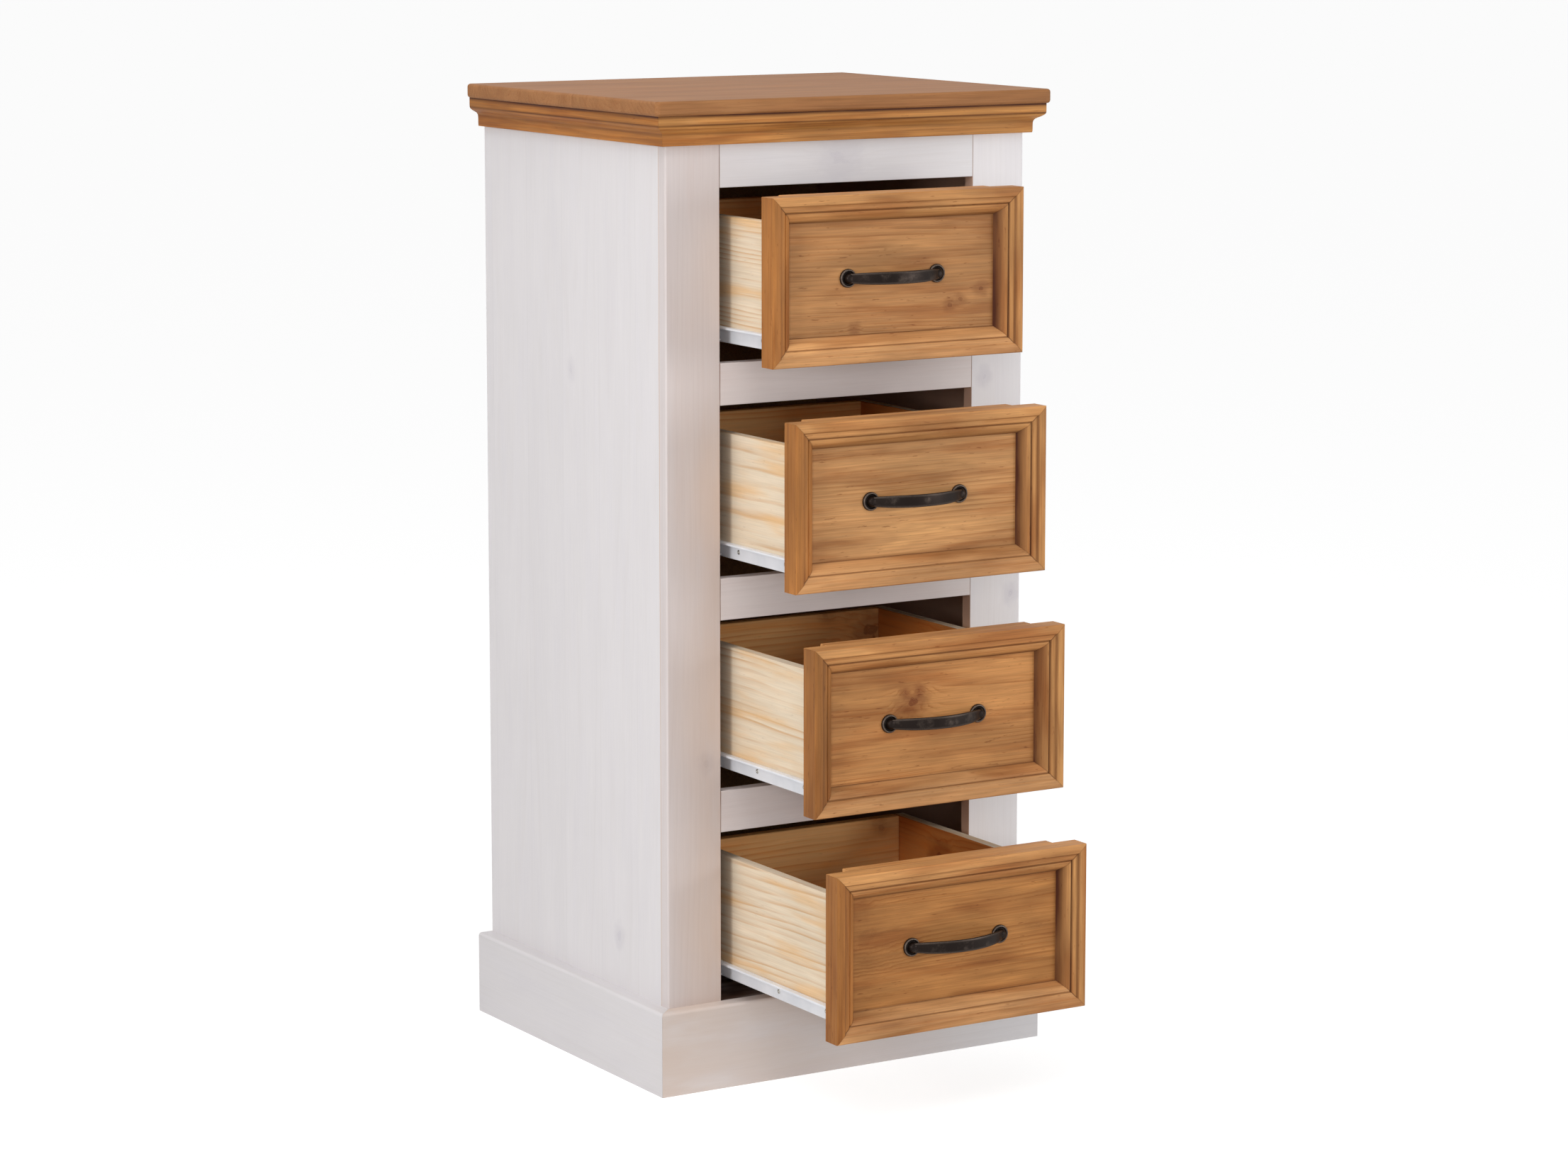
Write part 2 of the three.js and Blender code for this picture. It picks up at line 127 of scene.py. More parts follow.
# The camera of the photograph, and the studio round it
CAMERA_PLACE = (-2.898, -4.614, 1.5214)
CAMERA_YAW = 0.54532
CAMERA_PITCH = 0.14764
CAMERA_LENS = 101.65
CAMERA_SHIFT = -0.05
SENSOR_WIDTH = 36
WORLD_LEVEL = 0.41
FLOOR_REACH = 40.0
FLOOR_GLOW = 0.78
FLOOR_SHADE = 0.45
FLOOR_PLAIN = 0.8
# Name, place, target, size and watts of each lamp
LAMPS = (
    ("left_softbox", (-3.4, -1.35, 1.6), (0, 0.2, 0.6), (0.9, 1.3), 47.5),
    ("right_softbox", (3.0, -3.1, 0.95), (0, 0, 0.6), (1.1, 1.6), 46),
    ("front_softbox", (-2.1, -4.4, 1.4), (0, 0, 0.6), (1.2, 1.6), 22),
    ("top_softbox", (-1.0, -0.8, 3.4), (0, 0, 0.7), (2.2, 2.2), 42),
)

# Outlines, the same as the solids' own: shares of a width and of a drop or height
FRAME_FACE = (
    (0, 0.09), (0.015, 0.025), (0.05, 0), (0.31, 0), (0.335, 0.05), (0.36, 0.12), (0.4, 0.15),
    (0.525, 0.16), (0.555, 0.21), (0.573, 0.29), (0.6, 0.29), (0.615, 0.23), (0.67, 0.24),
    (0.746, 0.335), (0.82, 0.5), (0.884, 0.68), (0.943, 0.86), (1, 1),
)
CORNICE_FACE = (
    (1, 0), (1, 0.3), (0.98, 0.35), (0.9, 0.405), (0.74, 0.465), (0.56, 0.515),
    (0.46, 0.57), (0.41, 0.65), (0.41, 0.97), (0.38, 1),
)
ROSETTE_HALF = (
    (1, 0), (1, 0.2), (0.93, 0.33), (0.8, 0.36), (0.7, 0.22),
    (0.62, 0.24), (0.57, 0.5), (0.46, 0.82), (0.25, 1), (0, 1),
)

# Where stain gathers, and painted shade: place, reach and depth of each dark line, as shares of the outline.
# The lines are deepest on the right board and widest at the right and top boards' sight edges: painted shade
# there.
FRAME_STAIN_AND_SHADE_LINES = {
    "left": ((0.0, 0.03, 0.16), (0.19, 0.17, 0.2), (0.37, 0.06, 0.3), (1.0, 0.03, 0.1)),
    "right": ((0.0, 0.03, 0.12), (0.35, 0.05, 0.65), (0.587, 0.04, 1.0), (1.0, 0.2, 1.1)),
    "top": ((0.35, 0.03, 0.35), (0.587, 0.034, 0.65), (1.0, 0.1, 0.8)),
    "bottom": ((0.0, 0.03, 0.12), (0.35, 0.03, 0.15), (0.587, 0.022, 0.5), (1.0, 0.03, 0.85)),
}
# Depth of stain on the outer sides of a drawer's frame
FLANK_STAIN = {"right": 0.1, "top": 0.0, "bottom": 0.1}
# Cornice lines: a dark joint under the top board with painted shade of its overhang, and stain with painted
# shade at the fillet's foot and in the ogee's hollow
CORNICE_STAIN_AND_SHADE_LINES = ((0.33, 0.035, 0.85), (0.0, 0.08, 1.2), (0.62, 0.05, 0.45))
# How dark a mitre is: share of the outline, depth
MITRE_DEPTHS = ((0.0, 0.15), (0.28, 0.2), (0.36, 0.75), (0.6, 0.8), (0.68, 0.35), (1.0, 0.4))


# Mesh making

def smoothed(points, rounds=2):
    """Rounds the corners of an open line of points, whose ends stay."""
    line = [Vector(point) for point in points]
    for _ in range(rounds):
        cut = [line[0]]
        for here, there in zip(line, line[1:]):
            cut += [here.lerp(there, 0.25), here.lerp(there, 0.75)]
        line = cut + [line[-1]]
    return [tuple(point) for point in line]


def scaled(shares, width, height):
    return [(a * width, b * height) for a, b in shares]


def swept(outline, stations):
    """Points and faces of a closed outline carried through stations of (origin, across, along)."""
    count = len(outline)
    points = []
    for origin, across, along in stations:
        points += [Vector(origin) + Vector(across) * a + Vector(along) * b for a, b in outline]
    faces = []
    for span in range(len(stations) - 1):
        here, there = span * count, (span + 1) * count
        for point in range(count):
            after = (point + 1) % count
            faces.append((here + point, here + after, there + after, there + point))
    last = (len(stations) - 1) * count
    faces.append(tuple(reversed(range(count))))
    faces.append(tuple(range(last, last + count)))
    return points, faces


def turned(half, centre, axis, sides=40):
    """Points and faces of a half outline (radius, height) turned about an axis through a centre."""
    turn = Vector((0, 0, 1)).rotation_difference(Vector(axis)).to_matrix()
    points, rings, faces = [], [], []
    for radius, height in half:
        steps = sides if radius > 0 else 1
        rings.append([len(points) + step for step in range(steps)])
        for step in range(steps):
            angle = 2 * math.pi * step / sides
            place = Vector((radius * math.cos(angle), radius * math.sin(angle), height))
            points.append(Vector(centre) + turn @ place)
    for lower, upper in zip(rings, rings[1:]):
        for step in range(sides):
            after = (step + 1) % sides
            corners = [lower[step % len(lower)], lower[after % len(lower)],
                       upper[after % len(upper)], upper[step % len(upper)]]
            faces.append(tuple(dict.fromkeys(corners)))
    for ring in (rings[0], rings[-1]):
        if len(ring) > 1:
            faces.append(tuple(ring))
    return points, faces


def sheet_outline(line, bend=BEND, thickness=SHEET, steps=4):
    """The outline of a bent sheet whose middle follows a line, with rounded bends."""
    middle = [Vector(point) for point in line]
    path = [middle[0]]
    for before, corner, after in zip(middle, middle[1:], middle[2:]):
        start = corner + (before - corner).normalized() * bend
        end = corner + (after - corner).normalized() * bend
        for step in range(steps + 1):
            share = step / steps
            path.append(start.lerp(corner, share).lerp(corner.lerp(end, share), share))
    path.append(middle[-1])
    near, far = [], []
    for index, point in enumerate(path):
        before = path[max(index - 1, 0)]
        after = path[min(index + 1, len(path) - 1)]
        run = (after - before).normalized()
        side = Vector((-run.y, run.x)) * thickness / 2
        near.append(tuple(point + side))
        far.append(tuple(point - side))
    return near + far[::-1]


def board_outline(width, depth, near=BOARD_EASE, far=BOARD_EASE, steps=5):
    """A board's section, its face at zero depth, with a rounded arris at the near and the far edge."""
    turns = [math.pi / 2 * step / steps for step in range(steps + 1)]
    rise = [(near - near * math.cos(turn), near - near * math.sin(turn)) for turn in turns]
    fall = [(width - far + far * math.sin(turn), far - far * math.cos(turn)) for turn in turns]
    return [(0, depth), *rise, *fall, (width, depth)]


def rounded_block(low, high, edge, upright=None, segments=4):
    """Points and faces of a block with rounded edges. Its upright edges may have a larger radius."""
    made = bmesh.new()
    bmesh.ops.create_cube(made, size=1)
    size = Vector(high) - Vector(low)
    middle = (Vector(high) + Vector(low)) / 2
    placed = Matrix.Translation(middle) @ Matrix.Diagonal(size.to_4d())
    bmesh.ops.transform(made, matrix=placed, verts=made.verts)
    edges = list(made.edges)
    if upright:
        edges = [e for e in made.edges if abs(e.verts[0].co.z - e.verts[1].co.z) > size.z / 2]
        bmesh.ops.bevel(made, geom=edges, offset=upright, segments=segments + 2, profile=0.5, affect="EDGES")
        edges = [e for e in made.edges if abs(e.verts[0].co.z - e.verts[1].co.z) < size.z / 2]
    bmesh.ops.bevel(made, geom=edges, offset=edge, segments=segments, profile=0.5, affect="EDGES")
    made.verts.index_update()
    points = [vertex.co.copy() for vertex in made.verts]
    faces = [tuple(vertex.index for vertex in face.verts) for face in made.faces]
    made.free()
    return points, faces


def piece(name, shape, body, material, replaces=(), crease=35, mark_and_shade_levels=None):
    """One object of the scene, riding on a body. Its painted levels are one number for each point: stain,
    dark joints and wear, and painted shade.
    """
    points, faces = shape
    mesh = bpy.data.meshes.new(name)
    mesh.from_pydata([tuple(point) for point in points], [], faces)
    fixing = bmesh.new()
    fixing.from_mesh(mesh)
    bmesh.ops.recalc_face_normals(fixing, faces=fixing.faces)
    fixing.to_mesh(mesh)
    fixing.free()
    mesh.shade_smooth()
    mesh.set_sharp_from_angle(angle=math.radians(crease))
    if mark_and_shade_levels:
        mesh.attributes.new("marks_and_shade", "FLOAT", "POINT").data.foreach_set("value", mark_and_shade_levels)
    made = bpy.data.objects.new(name, mesh)
    bpy.context.scene.collection.objects.link(made)
    made.modifiers.new("flat_faces", "WEIGHTED_NORMAL").keep_sharp = True
    mesh.materials.append(material)
    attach(made, body)
    if replaces:
        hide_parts(*replaces)
    return made


def mirrored(shape, side):
    points, faces = shape
    return [Vector((side * p[0], p[1], p[2])) for p in points], faces


def stain_and_shade_at(share, lines):
    """How dark the stain and painted shade lie at a share of an outline: their full depth in the middle of a
    line.
    """
    return max(depth * math.exp(-((share - place) / reach) ** 2) for place, reach, depth in lines)


def mitre_at(share):
    """How dark a mitre is at a share of the outline."""
    for (low, before), (high, after) in zip(MITRE_DEPTHS, MITRE_DEPTHS[1:]):
        if share <= high:
            return before + (after - before) * (share - low) / (high - low)
    return 0.0


# Materials

PLAIN = (1, 1, 1)


def srgb(*levels, tone=PLAIN):
    """A colour given as on a screen, 0 to 255, times a tone, in linear values with alpha."""
    shares = [level * part / 255 for level, part in zip(levels, tone)]
    return [s / 12.92 if s <= 0.04045 else ((s + 0.055) / 1.055) ** 2.4 for s in shares] + [1.0]


class Net:
    """Short calls for the node tree of a material, or of the world."""

    def __init__(self, name, owner=None):
        self.material = owner or bpy.data.materials.new(name)
        self.material.use_nodes = True
        self.tree = self.material.node_tree
        self.tree.nodes.clear()

    def node(self, kind, sockets=None, **settings):
        made = self.tree.nodes.new(kind)
        for key, value in settings.items():
            setattr(made, key, value)
        for key, value in (sockets or {}).items():
            if isinstance(value, bpy.types.NodeSocket):
                self.tree.links.new(value, made.inputs[key])
            else:
                made.inputs[key].default_value = value
        return made

    def math(self, operation, *values, clamp=False):
        sockets = dict(enumerate(values))
        return self.node("ShaderNodeMath", sockets, operation=operation, use_clamp=clamp).outputs[0]

    def length(self, vector):
        return self.node("ShaderNodeVectorMath", {0: vector}, operation="LENGTH").outputs["Value"]

    def place(self):
        return self.node("ShaderNodeTexCoord").outputs["Object"]

    def split(self, vector):
        return self.node("ShaderNodeSeparateXYZ", {0: vector}).outputs[:]

    def join(self, x, y, z):
        return self.node("ShaderNodeCombineXYZ", {0: x, 1: y, 2: z}).outputs[0]

    def noise(self, place, scale=1.0, detail=2.0, roughness=0.5, distortion=0.0):
        sockets = {"Vector": place, "Scale": scale, "Detail": detail, "Roughness": roughness,
                   "Distortion": distortion}
        return self.node("ShaderNodeTexNoise", sockets).outputs

    def span(self, value, low, high, to_low=0.0, to_high=1.0):
        sockets = {"Value": value, "From Min": low, "From Max": high, "To Min": to_low, "To Max": to_high}
        return self.node("ShaderNodeMapRange", sockets, interpolation_type="SMOOTHSTEP").outputs[0]

    def mix(self, share, first, second, blend="MIX"):
        sockets = {0: share, 6: first, 7: second}
        return self.node("ShaderNodeMix", sockets, data_type="RGBA", blend_type=blend).outputs[2]

    def toned(self, colour, tone):
        return self.mix(1.0, colour, self.join(tone, tone, tone), "MULTIPLY")

    def ramp(self, value, stops):
        made = self.node("ShaderNodeValToRGB", {0: value})
        elements = made.color_ramp.elements
        while len(elements) < len(stops):
            elements.new(0.5)
        for element, (position, level) in zip(elements, stops):
            element.position = position
            element.color = (level, level, level, 1)
        return made.outputs[0]

    def seen(self):
        """1 where the camera, a mirror or glass shows the surface, 0 for all other light."""
        rays = self.node("ShaderNodeLightPath").outputs
        reflected = self.math("MAXIMUM", rays["Is Glossy Ray"], rays["Is Transmission Ray"])
        return self.math("MAXIMUM", rays["Is Camera Ray"], reflected)

    def painted(self, name="marks_and_shade"):
        return self.node("ShaderNodeAttribute", attribute_name=name).outputs["Fac"]

    def finish(self, colour, roughness, height=None, depth=0.0, **constants):
        sockets = {"Base Color": colour, "Roughness": roughness}
        if height is not None:
            bump = self.node("ShaderNodeBump", {"Strength": 1.0, "Distance": depth, "Height": height})
            sockets["Normal"] = bump.outputs[0]
        shader = self.node("ShaderNodeBsdfPrincipled", sockets)
        for key, value in constants.items():
            shader.inputs[key.replace("_", " ")].default_value = value
        self.node("ShaderNodeOutputMaterial", {"Surface": shader.outputs[0]})
        return self.material


# Each wood's colours, as on a screen, then how strong its rings, fibres, patches, glows, flecks and
# clouds are, and its surface
WOODS = {
    "honey": dict(
        early=(203, 146, 89), late=(156, 94, 42), patch=(150, 84, 36), knot=(106, 44, 14),
        pale=(232, 170, 104), rings=0.55, fibres=0.14, patches=0.55, glow=0.6,
        flecks=0.5, clouds=0.21, roughness=(0.45, 0.6), gloss=0.15, bump=0.1 * MM),
    "top": dict(
        early=(162, 112, 71), late=(140, 90, 53), patch=(142, 90, 51), knot=(86, 43, 19),
        pale=(176, 126, 81), rings=0.5, fibres=0.14, patches=0.35, glow=0.4,
        flecks=0.3, clouds=0.09, roughness=(0.5, 0.6), gloss=0.12, bump=0.06 * MM),
    "cornice": dict(
        early=(200, 141, 79), late=(156, 92, 38), patch=(158, 92, 40), knot=(96, 46, 18),
        pale=(224, 168, 106), rings=0.5, fibres=0.17, patches=0.6, glow=0.5,
        flecks=0.35, clouds=0.16, roughness=(0.45, 0.6), gloss=0.15, bump=0.1 * MM),
    "bare": dict(
        early=(228, 211, 186), late=(202, 150, 92), patch=(228, 186, 134), knot=(112, 54, 22),
        pale=(246, 230, 206), rings=0.68, fibres=0.06, patches=0.75, glow=0.3,
        flecks=0.15, clouds=0.05, roughness=(0.55, 0.7), gloss=0.2, bump=0.06 * MM),
    "white": dict(
        early=(229, 227, 229), late=(224, 221, 222), patch=(225, 223, 228), knot=(202, 199, 207),
        pale=(233, 231, 233), rings=0.4, fibres=0.018, patches=0.3, glow=0.2,
        flecks=0.0, clouds=0.014, roughness=(0.45, 0.6), gloss=0.3, bump=0.05 * MM),
    # The white glaze painted warmer and darker, as painted shade and warm bounce light from the drawers: for
    # the rails under them, the left stile and the bottom board
    "shaded_warm_white": dict(
        early=(226, 216, 213), late=(218, 206, 202), patch=(222, 208, 203), knot=(198, 190, 192),
        pale=(230, 221, 218), rings=0.4, fibres=0.02, patches=0.4, glow=0.2,
        flecks=0.0, clouds=0.02, roughness=(0.45, 0.6), gloss=0.3, bump=0.05 * MM),
}
LATEWOOD = ((0.0, 0.0), (0.3, 0.08), (0.62, 0.42), (0.84, 1.0), (0.93, 0.7), (1.0, 0.0))
# Colours of painted points: dark stain and painted shade in mouldings, dark joints and painted shade on
# rails, painted warm shade and seams on stiles and plinth, painted shade on the bottom board
DARK_STAIN_AND_SHADE = (68, 29, 8)
JOINT_AND_SHADE_COLOUR = (138, 100, 78)
WARM_SHADE_AND_SEAM_COLOUR = (196, 164, 136)
BOTTOM_SHADE_COLOUR = (74, 52, 40)
RING_SPACING = 7 * MM
# Grains: lumps to the metre along and across the board, detail, roughness
WAVER_GRAIN = (1.6, 9.0)
RAGGED_GRAIN = (60.0, 90.0, 2.0)
RING_GRAIN = (3.0, 60.0, 3.0)
BLOT_GRAIN = (6.0, 42.0, 3.0, 0.5)
FLECK_GRAIN = (60.0, 380.0, 2.0)
FIBRE_GRAIN = (14.0, 620.0, 3.0, 0.6)
CLOUD_GRAIN = (6.0, 24.0, 3.0, 0.55)
# How far the log's heart wanders across the board and behind it
WAVER_ACROSS = 0.035
WAVER_BEHIND = 0.025
STAVE_SHIFT = 9.0
# A knot's shape, in its radii but for the last, the waves of its own rings
KNOT_ROUGHNESS = 2.2
KNOT_SWELL = 2.3
KNOT_HALO = 2.8
KNOT_WAVES = 4200.0
# A sunk field's border is darkened within this reach: stain at its edge, and painted shade from the frame
# round it
RIM_REACH = 3.5 * MM
RIM_STAIN_AND_SHADE_DEPTH = 0.22


class Board(Net):
    """The node tree of one board of pine. U runs along its grain, V across it and W behind its face."""

    def __init__(self, name, kind, along, seed):
        super().__init__(name)
        self.look = WOODS[kind]
        self.shift = seed * 0.37
        self.x, self.y, self.z = x, y, z = self.split(self.place())
        self.u, self.v, self.w = {"x": (x, z, y), "y": (y, z, x), "z": (z, x, y),
                                  "x_flat": (x, y, z), "z_side": (z, y, x)}[along]
        self.run = self.u

    def grain(self, along, across, detail=3.0, roughness=0.5):
        """Noise stretched along the grain: so many lumps to the metre along and across it."""
        place = self.join(self.math("MULTIPLY_ADD", self.u, along, self.shift),
                          self.math("MULTIPLY", self.v, across), self.math("MULTIPLY", self.w, across))
        return self.noise(place, detail=detail, roughness=roughness)

    def staves(self, width, start):
        """Splits a panel into glued strips. Gives the place across each strip's own log, and its chance."""
        lanes = self.math("DIVIDE", self.math("ADD", self.v, start), width)
        cell = self.math("ADD", self.math("FLOOR", lanes), self.shift)
        chance = self.node("ShaderNodeTexWhiteNoise", {"W": cell}, noise_dimensions="1D").outputs["Value"]
        self.u = self.math("MULTIPLY_ADD", chance, STAVE_SHIFT, self.u)
        lane = self.math("FRACT", lanes)
        seam = self.math("ABSOLUTE", self.math("SUBTRACT", lane, 0.5))
        across = self.math("MULTIPLY", self.math("SUBTRACT", lane, chance), width)
        return across, chance, self.span(seam, 0.494, 0.5, 1.0, 0.93)

    def ring_radius(self, across, behind, tilt, waver):
        """Distance to the heart of the log, which lies behind the face and leans along the grain."""
        v = self.math("MULTIPLY_ADD", self.math("SUBTRACT", waver[0], 0.5), WAVER_ACROSS, across)
        lean = self.math("MULTIPLY_ADD", self.u, tilt, self.math("SUBTRACT", self.w, behind))
        w = self.math("MULTIPLY_ADD", self.math("SUBTRACT", waver[1], 0.5), WAVER_BEHIND, lean)
        return self.length(self.join(0.0, v, w))

    def knot(self, at_u, at_v, size, ragged):
        """A knot's own darkness, and how far it swells the rings round it."""
        du = self.math("MULTIPLY", self.math("SUBTRACT", self.run, at_u), 0.8)
        dv = self.math("SUBTRACT", self.v, at_v)
        rough = self.math("MULTIPLY", self.math("SUBTRACT", ragged, 0.5), size * KNOT_ROUGHNESS)
        reach = self.math("ADD", self.length(self.join(du, dv, 0.0)), rough)
        far = self.math("POWER", self.math("DIVIDE", reach, size * KNOT_SWELL), 2.0)
        swell = self.math("EXPONENT", self.math("MULTIPLY", far, -1.0))
        disc = self.span(reach, size, size * 0.35)
        waves = self.math("SINE", self.math("MULTIPLY", reach, KNOT_WAVES))
        lines = self.math("MULTIPLY_ADD", waves, 0.2, 0.8)
        halo = self.math("MULTIPLY", self.span(reach, size * KNOT_HALO, size * 0.8), 0.45)
        return self.math("MAXIMUM", self.math("MULTIPLY", disc, lines), halo), swell

    def latewood(self, radius, spacing):
        phase = self.math("FRACT", self.math("DIVIDE", radius, spacing))
        strength = self.span(self.grain(*RING_GRAIN)[0], 0.4, 0.62, 0.12, 1.0)
        late = self.math("MULTIPLY", self.ramp(phase, LATEWOOD), strength)
        return self.math("MULTIPLY", late, self.look["rings"], clamp=True)

    def rim(self, half_width, middle, half_height):
        """1 at the border of a sunk field, falling to 0 within it."""
        from_side = self.math("SUBTRACT", half_width, self.math("ABSOLUTE", self.x))
        rise = self.math("ABSOLUTE", self.math("SUBTRACT", self.z, middle))
        near = self.math("MINIMUM", from_side, self.math("SUBTRACT", half_height, rise))
        return self.math("MULTIPLY", self.span(near, RIM_REACH, 0.0), RIM_STAIN_AND_SHADE_DEPTH)


def wood(name, kind, along, seed, heart=(0.02, 0.05), tilt=0.015, staves=None, knots=(), marks_and_shade=None,
         inside=None, rim=None, tone=PLAIN, spacing=RING_SPACING):
    """Pine cut from a log whose heart lies beside the board and nearly along its grain.

    Heart is the log's middle, across the board and behind its face. Staves are the width and start of a
    glued panel's strips. A knot is (along, across, radius, depth), below zero where the wood is paler round
    one. One colour is given for what the points are painted with: stain and dark joints, and painted shade.
    Inside is (limit, colour): nearer the middle plane than the limit, the wood's colour is multiplied by it.
    """
    board = Board(name, kind, along, seed)
    look = board.look
    if staves:
        across, chance, seam = board.staves(*staves)
    else:
        across = board.math("SUBTRACT", board.v, heart[0])
    waver = board.node("ShaderNodeSeparateColor", {0: board.grain(*WAVER_GRAIN)[1]}).outputs
    ragged = board.grain(*RAGGED_GRAIN)[0]
    radius = board.ring_radius(across, heart[1], tilt, waver)
    knot_masks = []
    for at_u, at_v, size, depth in knots:
        mask, swell = board.knot(at_u, at_v, size, ragged)
        radius = board.math("MULTIPLY_ADD", swell, size * 1.5 * depth, radius)
        target = srgb(*look["knot" if depth > 0 else "pale"], tone=tone)
        knot_masks.append((board.math("MULTIPLY", mask, abs(depth)), target))
    late = board.latewood(radius, spacing)
    colour = board.mix(late, srgb(*look["early"], tone=tone), srgb(*look["late"], tone=tone))
    blots = board.grain(*BLOT_GRAIN)[0]
    patches = board.math("MULTIPLY", board.span(blots, 0.46, 0.72), look["patches"])
    colour = board.mix(patches, colour, srgb(*look["patch"], tone=tone))
    glows = board.math("MULTIPLY", board.span(blots, 0.42, 0.26), look["glow"])
    colour = board.mix(glows, colour, srgb(*look["pale"], tone=tone))
    flecks = board.math("MULTIPLY", board.span(board.grain(*FLECK_GRAIN)[0], 0.66, 0.76), look["flecks"])
    colour = board.mix(flecks, colour, srgb(*look["knot"], tone=tone))
    fibre = board.grain(*FIBRE_GRAIN)[0]
    cloud = board.grain(*CLOUD_GRAIN)[0]
    fibre_tone = board.span(fibre, 0.3, 0.7, 1 - look["fibres"], 1 + look["fibres"] * 0.7)
    cloud_tone = board.span(cloud, 0.3, 0.7, 1 - look["clouds"], 1 + look["clouds"] * 0.6)
    figure = board.math("MULTIPLY", fibre_tone, cloud_tone)
    if staves:
        stave_tone = board.math("MULTIPLY_ADD", chance, look["clouds"], 1 - look["clouds"] * 0.6)
        figure = board.math("MULTIPLY", figure, board.math("MULTIPLY", stave_tone, seam))
    colour = board.toned(colour, figure)
    for mask, target in knot_masks:
        colour = board.mix(mask, colour, target)
    uneven = board.span(cloud, 0.3, 0.6, 0.6, 1.0)
    # Painted points: stain and dark joints, and painted shade
    if marks_and_shade:
        colour = board.mix(board.math("MULTIPLY", board.painted(), uneven, clamp=True), colour, srgb(*marks_and_shade))
    # A darker border round a sunk field: stain and painted shade
    if rim:
        border = board.math("MULTIPLY", board.rim(*rim), uneven, clamp=True)
        colour = board.mix(border, colour, srgb(*DARK_STAIN_AND_SHADE))
    # Inner faces get a darker, warmer colour than the outer ones
    if inside:
        limit, inside_colour = inside
        within = board.math("LESS_THAN", board.math("ABSOLUTE", board.x), limit)
        colour = board.mix(within, colour, board.mix(1.0, colour, srgb(*inside_colour), "MULTIPLY"))
    low, high = look["roughness"]
    roughness = board.span(fibre, 0.25, 0.75, low, high)
    height = board.math("MULTIPLY_ADD", late, 0.6, board.math("MULTIPLY", fibre, 0.5))
    return board.finish(colour, roughness, height, look["bump"], Specular_IOR_Level=look["gloss"])


def antique_iron(name):
    """Black iron, rubbed to grey where its points are painted."""
    net = Net(name)
    place = net.place()
    broad = net.noise(place, 60.0, 4.0, 0.6)[0]
    fine = net.noise(place, 900.0, 3.0, 0.6)[0]
    bare = net.math("MAXIMUM", net.painted(), net.math("MULTIPLY", net.span(broad, 0.5, 0.75), 0.3))
    worn = net.math("MULTIPLY", bare, net.span(fine, 0.3, 0.65, 0.4, 1.0))
    colour = net.mix(worn, srgb(32, 25, 22), srgb(112, 99, 90))
    return net.finish(colour, net.span(fine, 0.2, 0.8, 0.32, 0.48), fine, 0.05 * MM, Metallic=0.9)


def painted_steel(name):
    net = Net(name)
    place = net.place()
    peel = net.noise(place, 1400.0, 2.0)[0]
    smudge = net.noise(place, 25.0, 3.0)[0]
    colour = net.mix(net.span(smudge, 0.35, 0.7), srgb(226, 227, 231), srgb(215, 217, 222))
    return net.finish(colour, net.span(smudge, 0.3, 0.7, 0.3, 0.42), peel, 0.02 * MM)


def nylon(name):
    net = Net(name)
    speck = net.noise(net.place(), 300.0, 3.0)[0]
    colour = net.mix(speck, srgb(218, 215, 204), srgb(232, 230, 222))
    return net.finish(colour, net.span(speck, 0.3, 0.7, 0.4, 0.55), speck, 0.02 * MM)


def zinc(name):
    net = Net(name)
    grain = net.noise(net.place(), 1800.0, 2.0)[0]
    colour = net.mix(grain, srgb(150, 148, 143), srgb(190, 188, 182))
    return net.finish(colour, net.span(grain, 0.3, 0.7, 0.28, 0.45), grain, 0.02 * MM, Metallic=1.0)


def hardboard(name):
    net = Net(name)
    place = net.place()
    fibre = net.noise(place, 420.0, 4.0, 0.7, 1.5)[0]
    cloud = net.noise(place, 14.0, 3.0)[0]
    colour = net.mix(net.span(fibre, 0.3, 0.7), srgb(140, 104, 66), srgb(176, 140, 98))
    colour = net.toned(colour, net.span(cloud, 0.3, 0.7, 0.9, 1.06))
    return net.finish(colour, net.span(fibre, 0.3, 0.7, 0.6, 0.8), fibre, 0.08 * MM)


IRON = antique_iron("antique_iron")
STEEL = painted_steel("white_steel")
NYLON = nylon("nylon")
ZINC = zinc("zinc")
HARDBOARD = hardboard("hardboard")


def dress(node, material):
    """Gives a CAD node a finished material in place of its plain one."""
    for material_slot in frame["nodes"][node].material_slots:
        material_slot.material = material


# Fixings

def pan_head(name, body, centre, axis, radius=3 * MM, height=0.9 * MM):
    """A pan-head screw with a dished recess, its head standing on what it holds."""
    half = [(radius, 0), (radius, height * 0.25), (radius * 0.85, height * 0.75), (radius * 0.5, height),
            (radius * 0.36, height * 0.95), (radius * 0.14, height * 0.3), (0, height * 0.25)]
    piece(name, turned(half, centre, axis, 24), body, ZINC)


# Case

# Inner faces of the case, and the stiles' inner edges, get darker, warmer colours than their outer faces
CASE_INSIDE_COLOUR = (206, 168, 144)
# Painted warm shade on the plinth's front from left to right, and on the stiles from foot to top,
# for the open drawers' shadow and the warm light they throw back
PLINTH_WARM_SHADE = (0.55, 0.0)
